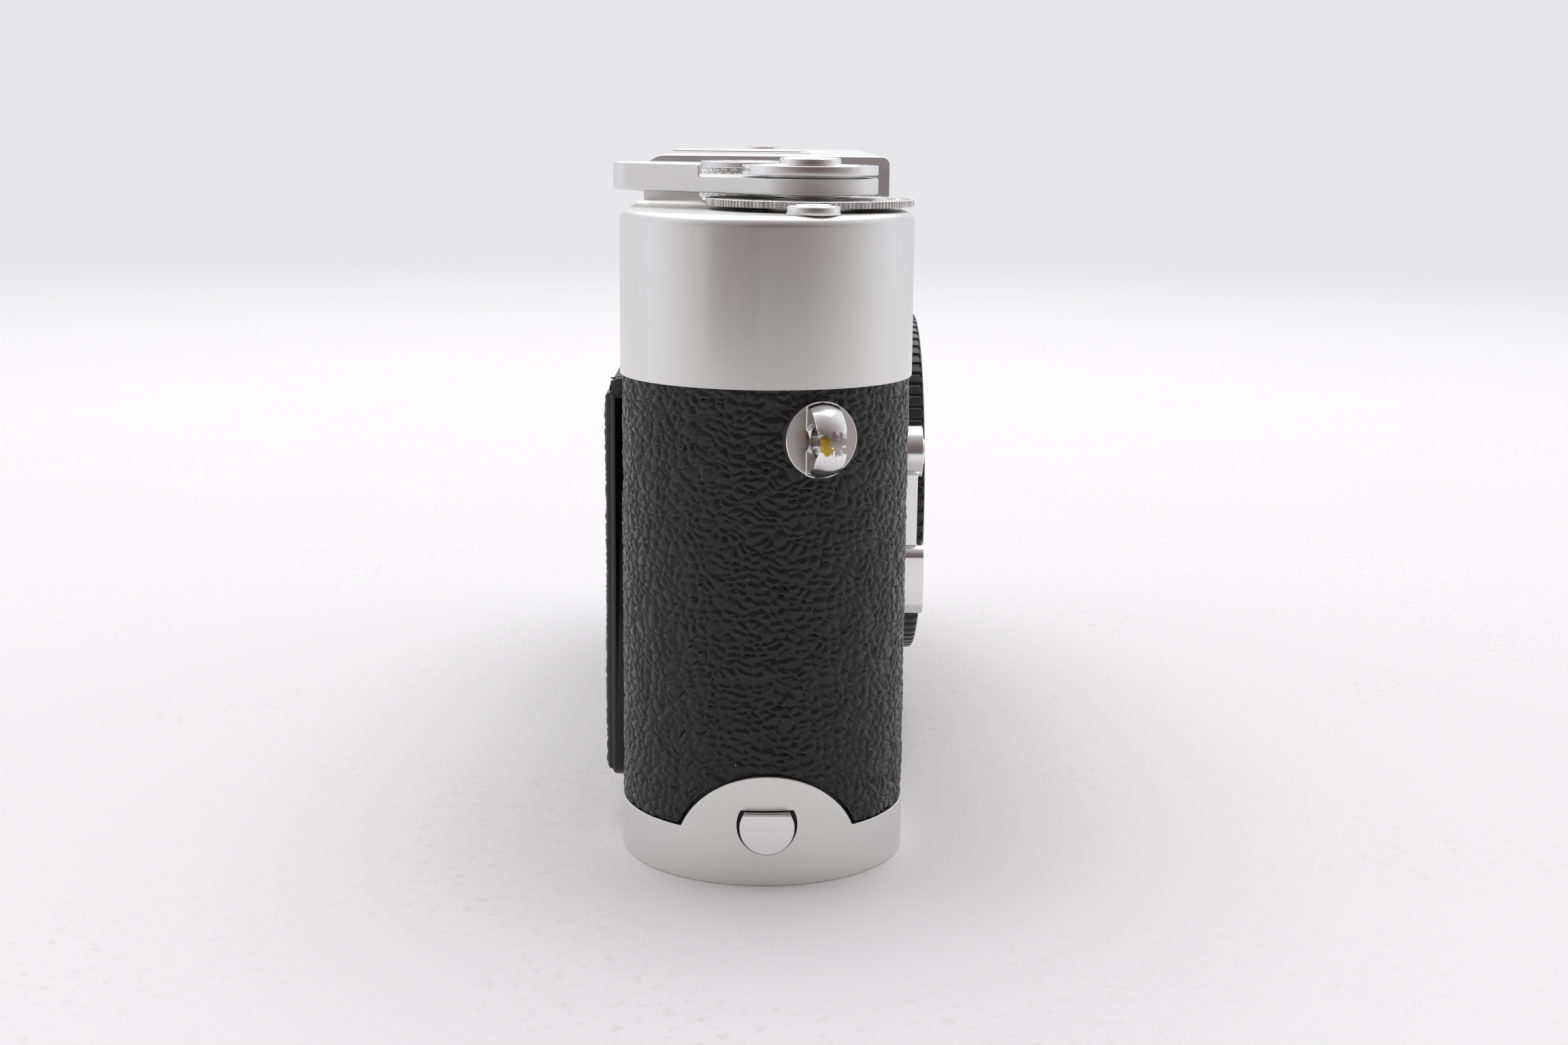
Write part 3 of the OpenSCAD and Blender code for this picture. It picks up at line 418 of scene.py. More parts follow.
@dataclass(frozen=True)
class Cloth:
    """Rubberised curtain cloth with a plain weave."""

    name: str
    pitch: float = 0.22 * MM

    def make(self) -> bpy.types.Material:
        """The material: two crossed bands make the weave's relief and tone."""
        s = Shading(self.name)
        bands = [
            s.node("ShaderNodeTexWave", {"bands_direction": way},
                   {"Vector": s.place(), "Scale": 0.3 / self.pitch, "Distortion": 0.4}, "Fac")
            for way in ("X", "Z")
        ]
        weave = bands[0] * bands[1]
        return s.surface(
            Base_Color=s.mix(weave, (0.012, 0.012, 0.012), (0.03, 0.03, 0.03)),
            Roughness=0.6 + 0.2 * weave,
            Normal=s.bump(weave, 0.03 * MM),
        )


@dataclass(frozen=True)
class Glass:
    """Coated or frosted glass with a trace of dust."""

    name: str
    tint: Colour
    roughness: float
    clear: float

    def make(self) -> bpy.types.Material:
        """The material: a smudge of noise varies the roughness."""
        s = Shading(self.name)
        smudge = s.noise(2.5 * MM, 4)
        dust = s.specks(0.8 * MM, 0.05, 0.06)
        return s.surface(
            Base_Color=s.mix(dust * 0.5, self.tint, (0.8, 0.8, 0.78)),
            Roughness=self.roughness + 0.05 * smudge + 0.3 * dust,
            Transmission_Weight=self.clear,
            IOR=1.52,
            Coat_Weight=0.3,
            Normal=s.bump(smudge, 0.003 * MM),
        )


def finishes() -> dict[Slot, bpy.types.Material]:
    """One material for each of the record's slots."""
    kinds = {
        Slot.SATIN: Metal("satin_chrome", (0.78, 0.775, 0.765), 0.34, stains=0.02),
        Slot.POLISHED: Metal("polished_chrome", (0.84, 0.835, 0.83), 0.17),
        Slot.STEEL: Metal("turned_steel", (0.66, 0.65, 0.63), 0.28, 0.25 * MM, turned=True),
        Slot.BRASS: Metal("machined_brass", (0.72, 0.52, 0.22), 0.27, 0.25 * MM, turned=True),
        Slot.COVERING: Leather("pebbled_covering"),
        Slot.ENAMEL: Coating(
            "black_enamel", (0.008, 0.008, 0.009), 0.34, edge=(0.05, 0.045, 0.04)
        ),
        Slot.CAST: Coating(
            "blackened_casting", (0.07, 0.07, 0.072), 0.48, 0.5 * MM, 0.03 * MM, 0.6
        ),
        Slot.PLASTIC: Coating("black_plastic", (0.012, 0.012, 0.013), 0.16),
        Slot.CLOTH: Cloth("curtain_cloth"),
        Slot.GLASS: Glass("optical_glass", (0.72, 0.8, 0.9), 0.03, 0.85),
        Slot.FROSTED: Glass("frosted_glass", (0.86, 0.88, 0.88), 0.45, 0.6),
    }
    return {slot: kind.make() for slot, kind in kinds.items()}


# ---- meshes


@dataclass(frozen=True)
class Box:
    """Limits of a CAD node at rest."""

    low: Vector
    high: Vector

    @staticmethod
    def of(node: str) -> "Box":
        """The limits of the CAD node called node."""
        return Box(*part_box(node))

    @property
    def middle(self) -> Vector:
        """The box's centre."""
        return (self.low + self.high) / 2

    @property
    def size(self) -> Vector:
        """The box's sides."""
        return self.high - self.low


def grid_faces(rows: int, columns: int, wrap: bool) -> np.ndarray:
    """Quads of a grid whose points are numbered row by row.

    Args:
        rows: rows of points.
        columns: points in a row.
        wrap: whether the last column joins the first.

    Returns:
        An array of four point numbers a quad.
    """
    row = np.arange(rows - 1)[:, None] * columns
    here = np.arange(columns if wrap else columns - 1)[None, :]
    there = (here + 1) % columns
    quads = [row + here, row + there, row + columns + there, row + columns + here]
    return np.stack(quads, axis=-1).reshape(-1, 4)


def smooth_by_angle(mesh: bpy.types.Mesh, degrees: float = SHARP) -> None:
    """Shades mesh smooth, apart from edges sharper than degrees."""
    mesh.polygons.foreach_set("use_smooth", np.ones(len(mesh.polygons), bool))
    mesh.set_sharp_from_angle(angle=math.radians(degrees))


def put(name: str, data: bpy.types.ID) -> Piece:
    """A new object called name that holds data, linked to the scene."""
    made = bpy.data.objects.new(name, data)
    bpy.context.scene.collection.objects.link(made)
    return made


def mesh_of(name: str, shape: bmesh.types.BMesh) -> bpy.types.Mesh:
    """A new mesh with shape's faces; shape is freed."""
    mesh = bpy.data.meshes.new(name)
    shape.to_mesh(mesh)
    shape.free()
    return mesh


def object_from(name: str, points: np.ndarray, faces: np.ndarray, closed: bool = True) -> Piece:
    """Puts points and faces into a new object at the origin.

    Args:
        name: the piece's name.
        points: an array of places.
        faces: an array of point numbers, one row a face.
        closed: whether doubles are merged and the normals recalculated outwards.

    Returns:
        The object, linked to the scene.
    """
    mesh = bpy.data.meshes.new(name)
    mesh.from_pydata(points.reshape(-1, 3), [], faces)
    if closed:
        shape = bmesh.new()
        shape.from_mesh(mesh)
        bmesh.ops.remove_doubles(shape, verts=shape.verts, dist=MERGE)
        bmesh.ops.recalc_face_normals(shape, faces=shape.faces)
        shape.to_mesh(mesh)
        shape.free()
    smooth_by_angle(mesh)
    return put(name, mesh)


def leather_sheet(
    name: str, points: np.ndarray, faces: np.ndarray, crease: np.ndarray, sharp: float
) -> Piece:
    """A sheet that carries its crease share, shaded smooth up to sharp degrees."""
    made = object_from(name, points, faces, closed=False)
    # the crease share also sets the painted shade in the covering material's creases
    tone = made.data.attributes.new("crease", "FLOAT", "POINT")
    tone.data.foreach_set("value", crease.ravel().astype(np.float32))
    smooth_by_angle(made.data, sharp)
    return made


def rounded(corners: Corners, radius: float, steps: int = 4) -> np.ndarray:
    """A profile with its inner corners eased.

    Each corner C between A and B, which lie radius away along its two sides, becomes the curve
    (1 - t)^2 A + 2 t (1 - t) C + t^2 B.

    Args:
        corners: radius, height and knurl share of each corner.
        radius: how far the easing reaches along a side, at most 0.45 of it.
        steps: steps of each curve.

    Returns:
        The eased profile, one row a point.
    """
    c = np.array(corners, float)
    rows = [c[:1]]
    t = np.linspace(0, 1, steps + 1)[:, None]
    for before, here, after in zip(c[:-2], c[1:-1], c[2:]):
        ends = []
        for other in (before, after):
            length = np.linalg.norm(other[:2] - here[:2])
            share = min(radius, 0.45 * length) / max(length, 1e-9)
            end = here + (other - here) * share
            end[2] = here[2]
            ends.append(end)
        rows.append((1 - t) ** 2 * ends[0] + 2 * t * (1 - t) * here + t**2 * ends[1])
    rows.append(c[-1:])
    return np.concatenate(rows)


@dataclass(frozen=True)
class Knurl:
    """Grooves round a turned piece."""

    count: int
    depth: float
    lean: float = 0.0
    duty: float = 0.5

    def cut(self, angle: np.ndarray, height: np.ndarray) -> np.ndarray:
        """Depth of the grooves.

        A straight knurl is a smoothed square wave of count periods a turn. With a lean, two such
        families cross, turning lean radians a metre either way, and the deeper one counts.

        Args:
            angle: angles round the axis.
            height: heights along the axis.

        Returns:
            How far the surface lies inside the outer radius.
        """
        waves = []
        for side in (1, -1) if self.lean else (0,):
            phase = self.count * (angle + side * self.lean * height) / (2 * math.pi)
            ramp = np.abs((phase % 1) * 2 - 1)
            waves.append(np.clip((ramp - self.duty) / (1 - self.duty) * 1.6, 0, 1))
        return self.depth * np.max(waves, axis=0)


def lathe(
    name: str,
    centre: Vector,
    profile: np.ndarray,
    columns: int,
    axis: Axis = Axis.UP,
    knurl: Knurl | None = None,
) -> Piece:
    """A turned piece: (r cos a, r sin a, h) for each angle a and profile point (r, h).

    Args:
        name: the piece's name.
        centre: the point on the axis where the height is 0.
        profile: radius, height and knurl share, from the axis round to the axis.
        columns: steps round the axis.
        axis: the way that the height runs.
        knurl: grooves, taken off the radius in step with the knurl share.

    Returns:
        The piece.
    """
    angle = np.arange(columns) * (2 * math.pi / columns)
    radius = np.repeat(profile[:, :1], columns, axis=1)
    height = np.repeat(profile[:, 1:2], columns, axis=1)
    if knurl:
        radius = radius - profile[:, 2:3] * knurl.cut(angle[None, :], height)
    across, along = radius * np.cos(angle), radius * np.sin(angle)
    points = axis.points(across, along, height) + np.array(centre)
    loop = np.allclose(profile[0, :2], profile[-1, :2])
    if loop:
        points = points[:-1]
    faces = grid_faces(len(points), columns, True)
    if loop:
        last = (len(points) - 1) * columns
        here = np.arange(columns)
        there = (here + 1) % columns
        faces = np.concatenate([faces, np.stack([last + here, last + there, there, here], -1)])
    return object_from(name, points, faces)


def stadium_point(
    along: np.ndarray, offset: np.ndarray | float, radius: float, half: float
) -> tuple[np.ndarray, np.ndarray]:
    """X and Y of points offset from the middle line of a body with half-round ends.

    The distance along runs round the near end: it is 0 at the end's tip, negative towards the
    back and positive towards the front, measured at the radius. With a = along / radius, kept
    within a quarter turn, X is -half - offset cos a and Y is -offset sin a. What is left of the
    distance is added to X.

    Args:
        along: distances round the outline.
        offset: distances from the middle line.
        radius: the ends' radius.
        half: half the length of the straight middle line.

    Returns:
        X and Y.
    """
    turn = np.clip(along / radius, -math.pi / 2, math.pi / 2)
    straight = np.clip(np.abs(along) - radius * math.pi / 2, 0, None)
    return -half - offset * np.cos(turn) + straight, -offset * np.sin(turn)


@dataclass
class Grain:
    """Pebbled grain as a height over two surface coordinates."""

    width: float = 1.3 * MM
    height: float = 0.95 * MM
    relief: float = 0.3 * MM
    rise: float = 0.14 * MM
    warp: float = 0.55 * MM
    warp_sizes: tuple[float, float] = (1.9 * MM, 1.7 * MM)
    swell_size: float = 3.5 * MM
    wrinkle_size: float = 0.7 * MM
    steep: float = 5.5
    crease_steep: float = 9.0
    seed: int = 11

    def __post_init__(self) -> None:
        """Draws the cell centres."""
        self.table = np.random.default_rng(self.seed).random((256, 256, 2))

    def wave(self, u: np.ndarray, v: np.ndarray, size: float, channel: int) -> np.ndarray:
        """Value noise from -1 to 1: smooth steps between random values on a square grid."""
        a, b = u / size, v / size
        i, j = np.floor(a).astype(int), np.floor(b).astype(int)
        s, t = a - i, b - j
        s, t = s * s * (3 - 2 * s), t * t * (3 - 2 * t)

        def at(p: int, q: int) -> np.ndarray:
            """The random values at the squares' corner (p, q)."""
            return self.table[(i + p) % 256, (j + q) % 256, channel]

        low = at(0, 0) * (1 - s) + at(1, 0) * s
        high = at(0, 1) * (1 - s) + at(1, 1) * s
        return (low * (1 - t) + high * t) * 2 - 1

    def relief_at(self, u: np.ndarray, v: np.ndarray) -> tuple[np.ndarray, np.ndarray]:
        """Height and crease of the grain.

        The gap between the distances to the nearest and the second nearest cell centre is 0 in
        a crease. The height is a rounded pebble over it, with a slow swell and fine wrinkles.

        Args:
            u: coordinate round the body.
            v: coordinate up the body.

        Returns:
            The height in metres and the crease share from 0 to 1.
        """
        p = (u + self.warp * self.wave(u, v, self.warp_sizes[0], 0)) / self.width
        q = (v + self.warp * self.wave(u, v, self.warp_sizes[1], 1)) / self.height
        i, j = np.floor(p).astype(int), np.floor(q).astype(int)
        first = np.full(p.shape, 9.0)
        second = np.full(p.shape, 9.0)
        for di in (-1, 0, 1):
            for dj in (-1, 0, 1):
                jitter = self.table[(i + di) % 256, (j + dj) % 256]
                dx = i + di + jitter[..., 0] - p
                dy = j + dj + jitter[..., 1] - q
                d = np.sqrt(dx * dx + dy * dy)
                second = np.minimum(second, np.maximum(first, d))
                first = np.minimum(first, d)
        gap = second - first
        pebble = 1 - np.exp(-gap * self.steep)
        wrinkle = self.wave(u + v, v - u, self.wrinkle_size, 0)
        swell = self.wave(u, v, self.swell_size, 1) * 0.45 + wrinkle * 0.2
        height = self.rise + self.relief * (pebble - 1 + swell * 0.6)
        return height, np.exp(-gap * self.crease_steep)


def soften(node: str, width: float, segments: int = 2) -> Piece:
    """A merged copy of a CAD node with its sharp edges bevelled, standing for that node.

    The bevel is applied, and what it throws outside the node's own box is brought back to it.

    Args:
        node: the CAD node.
        width: the bevel's width.
        segments: the bevel's segments.

    Returns:
        The copy, riding on the node's body.
    """
    source = frame["nodes"][node]
    shape = bmesh.new()
    shape.from_mesh(source.data)
    bmesh.ops.remove_doubles(shape, verts=shape.verts, dist=MERGE)
    bmesh.ops.dissolve_limit(
        shape, angle_limit=math.radians(FLAT), verts=shape.verts, edges=shape.edges
    )
    mesh = mesh_of(node + "_eased", shape)
    smooth_by_angle(mesh)
    made = put(node + "_eased", mesh)
    ease = made.modifiers.new("ease", "BEVEL")
    ease.width, ease.segments = width, segments
    ease.limit_method, ease.angle_limit = "ANGLE", math.radians(SHARP)
    ease.use_clamp_overlap, ease.harden_normals = False, True
    graph = bpy.context.evaluated_depsgraph_get()
    mesh = bpy.data.meshes.new_from_object(made.evaluated_get(graph), depsgraph=graph)
    made.modifiers.clear()
    made.data = mesh
    box = Box.of(node)
    places = np.empty((len(mesh.vertices), 3), np.float32)
    mesh.vertices.foreach_get("co", places.ravel())
    mesh.vertices.foreach_set("co", np.clip(places, box.low, box.high).ravel())
    mesh.update()
    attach(made, source["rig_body"])
    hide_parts(node)
    return made


@dataclass
class Assembly:
    """A sub-assembly that dresses its pieces with the shared finishes."""

    finish: dict[Slot, bpy.types.Material]

    def dress(
        self, piece: Piece, slot: Slot, material: bpy.types.Material | None = None
    ) -> None:
        """Gives piece its slot's material, or its own material in that slot."""
        piece.data.materials.clear()
        piece.data.materials.append(material or self.finish[slot])
        LOG.info("%s: %d faces, %s", piece.name, len(piece.data.polygons), slot.value)

    def fit(self, piece: Piece, node: str, slot: Slot) -> None:
        """Rides piece on node's body in node's place, and dresses it."""
        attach(piece, frame["nodes"][node]["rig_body"])
        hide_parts(node)
        self.dress(piece, slot)

    def add(self, body: str, slot: Slot, *pieces: Piece) -> None:
        """Rides pieces that stand for no node on body, and dresses them."""
        for piece in pieces:
            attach(piece, body)
            self.dress(piece, slot)

    def eased(self, nodes: str, slot: Slot, width: float, segments: int = 2) -> None:
        """Softens the CAD nodes that nodes names, with spaces between, and dresses them."""
        made = [soften(node, width, segments) for node in nodes.split()]
        for piece in made:
            self.dress(piece, slot)


# ---- engraving


def bars(
    name: str, centre: Vector, axis: Axis, angles: np.ndarray, inner: np.ndarray, outer: float,
    width: float, rise: float,
) -> Piece:
    """Radial paint lines as flat bars: eight corners each, at (r cos a -+ w sin a, ...).

    Args:
        name: the piece's name.
        centre: the middle of the ring, on the marked face.
        axis: the face's outward direction.
        angles: each line's angle.
        inner: each line's inner radius.
        outer: the lines' outer radius.
        width: the lines' width.
        rise: how far the paint stands over the face.

    Returns:
        The lines as one object.
    """
    corners = np.array([(r, w, h) for h in (-1, 1) for r, w in ((0, -1), (1, -1), (1, 1), (0, 1))])
    radius = inner[:, None] + (outer - inner[:, None]) * corners[None, :, 0]
    side = corners[None, :, 1] * width / 2
    a = angles[:, None]
    across = radius * np.cos(a) - side * np.sin(a)
    along = radius * np.sin(a) + side * np.cos(a)
    height = np.repeat(corners[None, :, 2] * rise, len(angles), axis=0)
    points = axis.points(across, along, height) + np.array(centre)
    sides = [(i, (i + 1) % 4, (i + 1) % 4 + 4, i + 4) for i in range(4)]
    one = np.array([(0, 3, 2, 1), (4, 5, 6, 7), *sides])
    faces = (one[None] + 8 * np.arange(len(angles))[:, None, None]).reshape(-1, 4)
    return object_from(name, points, faces)


def numerals(
    name: str, labels: Sequence[str], centre: Vector, axis: Axis, radius: float, size: float,
    step: float, rise: float,
) -> Piece:
    """Numbers set round a ring, feet towards the middle, from the top of the ring on.

    Args:
        name: the piece's name.
        labels: the numbers in order.
        centre: the middle of the ring, on the marked face.
        axis: the face's outward direction.
        radius: radius of the ring through the numbers' middles.
        size: height of the numbers.
        step: angle from one number to the next.
        rise: how far the paint stands over the face.

    Returns:
        The numbers as one object.
    """
    shape = bmesh.new()
    for i, label in enumerate(labels):
        curve = bpy.data.curves.new(name, "FONT")
        curve.body, curve.size = label, size * 1.4
        curve.align_x, curve.align_y = "CENTER", "CENTER"
        curve.extrude, curve.resolution_u = rise, 2
        text = put(name, curve)
        bpy.context.view_layer.update()
        graph = bpy.context.evaluated_depsgraph_get()
        flat = bpy.data.meshes.new_from_object(text.evaluated_get(graph))
        angle = math.pi / 2 + i * step
        flat.transform(Matrix.Rotation(angle - math.pi / 2, 4, "Z"))
        flat.transform(Matrix.Translation((radius * math.cos(angle), radius * math.sin(angle), 0)))
        if axis is Axis.BACK:
            flat.transform(Matrix(((-1, 0, 0, 0), (0, 0, 1, 0), (0, 1, 0, 0), (0, 0, 0, 1))))
        flat.transform(Matrix.Translation(centre))
        shape.from_mesh(flat)
        bpy.data.objects.remove(text)
    bmesh.ops.remove_doubles(shape, verts=shape.verts, dist=MERGE)
    return put(name, mesh_of(name, shape))


# ---- covering


@dataclass
class Covering(Assembly):
    """The pebbled covering round the body, in three sheets that meet edge to edge."""

    near_pitch: float = 0.19 * MM
    far_pitch: float = 0.32 * MM
    lap: float = 7.0 * MM
    skirt: float = 0.6 * MM
    tab_gap: float = 0.35 * MM
    door_gap: float = 0.3 * MM
    tab_r: float = 10 * MM
    fold_sharp: float = 75.0
    far_shift: float = 0.4
    flange_hide: float = 1.8 * MM

    def __post_init__(self) -> None:
        """Reads the covering's sizes from the CAD."""
        box = Box.of("body_covering")
        self.radius = box.size.y / 2
        self.half = box.size.x / 2 - self.radius
        self.low, self.high = box.low.z, box.high.z
        self.grain = Grain()
        flange = Box.of("lens_flange")
        self.flange_at = flange.middle
        self.flange_r = flange.size.x / 2

    def sheet(
        self, name: str, start: float, end: float, pitch: float, mirrored: bool,
        foot: Callable[[np.ndarray], np.ndarray],
    ) -> Piece:
        """One displaced sheet.

        Columns run round the outline and rows up the body. The border rows and columns fold in
        by the skirt, so that no edge shows. The grain's height is added to the offset.

        Args:
            name: the piece's name.
            start: distance round the outline where the sheet starts.
            end: distance where it ends.
            pitch: spacing of the grid.
            mirrored: whether the sheet lies at the far end.
            foot: height of the sheet's lower edge as a function of X and Y.

        Returns:
            The sheet.
        """
        columns = int((end - start) / pitch) + 1
        rows = int((self.high - self.low) / pitch) + 1
        u = np.linspace(start, end, columns)
        u = np.concatenate([u[:1], u, u[-1:]])
        t = np.linspace(0, 1, rows)
        t = np.concatenate([t[:1], t, t[-1:]])[:, None]
        base = foot(*stadium_point(u, self.radius, self.radius, self.half))
        z = base + t * (self.high - base)
        along = np.repeat(u[None, :], len(t), axis=0)
        lift, crease = self.grain.relief_at(along + (self.far_shift if mirrored else 0.0), z)
        edge = np.ones(z.shape, bool)
        edge[1:-1, 1:-1] = False
        offset = self.radius + np.where(edge, -self.skirt, lift)
        px, py = stadium_point(along, offset, self.radius, self.half)
        faces = grid_faces(len(t), len(u), False)
        if mirrored:
            px = -px
            faces = faces[:, ::-1]
        points = np.stack([px, py, z], axis=-1).reshape(-1, 3)
        middle = points[faces].mean(axis=1)
        inside = np.hypot(middle[:, 0] - self.flange_at.x, middle[:, 2] - self.flange_at.z)
        hidden = (inside < self.flange_r - self.flange_hide) & (middle[:, 1] < 0)
        return leather_sheet(name, points, faces[~hidden][:, ::-1], crease, self.fold_sharp)

    def build(self) -> None:
        """Makes the near end, the front and the far end."""
        stud = Box.of("end_stud")
        door = Box.of("back_door")
        tab_z = Box.of("base_plate").high.z - self.tab_r

        def near_foot(x: np.ndarray, y: np.ndarray) -> np.ndarray:
            """Height of the covering over the plate's rim or its round tab."""
            over = (self.tab_r + self.tab_gap) ** 2 - (y - stud.middle.y) ** 2
            arch = tab_z + np.sqrt(np.clip(over, 0, None))
            return np.where((x < -self.half) & (over > 0), np.maximum(arch, self.low), self.low)

        def flat_foot(x: np.ndarray, y: np.ndarray) -> np.ndarray:
            """Height of the covering over the plate's rim."""
            return np.full(x.shape, self.low)

        quarter = self.radius * math.pi / 2
        split = quarter + self.lap
        near_back = quarter + self.half + door.low.x - self.door_gap
        far_back = quarter + self.half - door.high.x - self.door_gap
        last = quarter + 2 * self.half - self.lap
        fine, coarse = self.near_pitch, self.far_pitch
        near = self.sheet("covering_near_end", -near_back, split, fine, False, near_foot)
        front = self.sheet("covering_front", split, last, coarse, False, flat_foot)
        far = self.sheet("covering_far_end", -far_back, split, coarse, True, flat_foot)
        self.fit(near, "body_covering", Slot.COVERING)
        self.add("camera_body", Slot.COVERING, front, far)


# ---- metal shells


@dataclass
class Shells(Assembly):
    """Top cover, base plate and what is fixed in them."""

    eases = (
        (Slot.SATIN, 0.06, 1, "top_cover"),
        (Slot.SATIN, 0.10, 2, "base_plate"),
        (Slot.POLISHED, 0.16, 3, "end_stud"),
        (Slot.ENAMEL, 0.06, 2, "window_frames"),
        (Slot.POLISHED, 0.10, 2, "accessory_shoe eyepiece_ring flash_sockets"),
        (Slot.STEEL, 0.06, 2, "shoe_screws flange_screws"),
        (Slot.POLISHED, 0.10, 2, "lens_flange release_guard self_timer_base"),
        (Slot.POLISHED, 0.06, 1, "latch_disc latch_handle tripod_bush lens_release"),
        (Slot.GLASS, 0.06, 2, "eyepiece_lens viewfinder_window rangefinder_window"),
        (Slot.FROSTED, 0.06, 2, "frosted_window"),
    )
    lug_ease: float = 0.10 * MM
    lug_turn: float = math.radians(20.6)
    lug_rise: float = 3.7 * MM
    flat_area: float = 0.6 * MM * MM

    def build(self) -> None:
        """Eases each shell's edges and dresses it."""
        for slot, width, segments, nodes in self.eases:
            self.eased(nodes, slot, width * MM, segments)
        self.lugs()

    def lugs(self) -> None:
        """The strap lugs: polished domes, and dull flats on the base and beside the eye."""
        box = Box.of("strap_lugs")
        cover = Box.of("body_covering")
        radius = cover.size.y / 2
        half = cover.size.x / 2 - radius

        def at(side: int, reach: float, aside: float, up: float) -> Vector:
            """A place in a lug's own frame: out of the body, towards the front, and up."""
            c, d = math.cos(self.lug_turn), math.sin(self.lug_turn)
            x = half + reach * c - aside * d
            return Vector((side * x, -reach * d - aside * c, box.middle.z + up))

        tip = radius + self.lug_rise
        sides = (-1, 1)
        worn = WornLug(
            "worn_lug",
            tuple(at(s, tip, -1.35 * MM, -0.1 * MM) for s in sides),
            tuple(at(s, tip, 0.35 * MM, -0.05 * MM) for s in sides),
        )
        piece = soften("strap_lugs", self.lug_ease)
        self.dress(piece, Slot.POLISHED, worn.make())
        dull = Metal("lug_flat", (0.50, 0.48, 0.46), 0.36, stains=0.3)
        piece.data.materials.append(dull.make())
        mesh = piece.data
        area = np.zeros(len(mesh.polygons), np.float32)
        mesh.polygons.foreach_get("area", area)
        mesh.polygons.foreach_set("material_index", (area > self.flat_area).astype(np.int32))


# ---- top controls


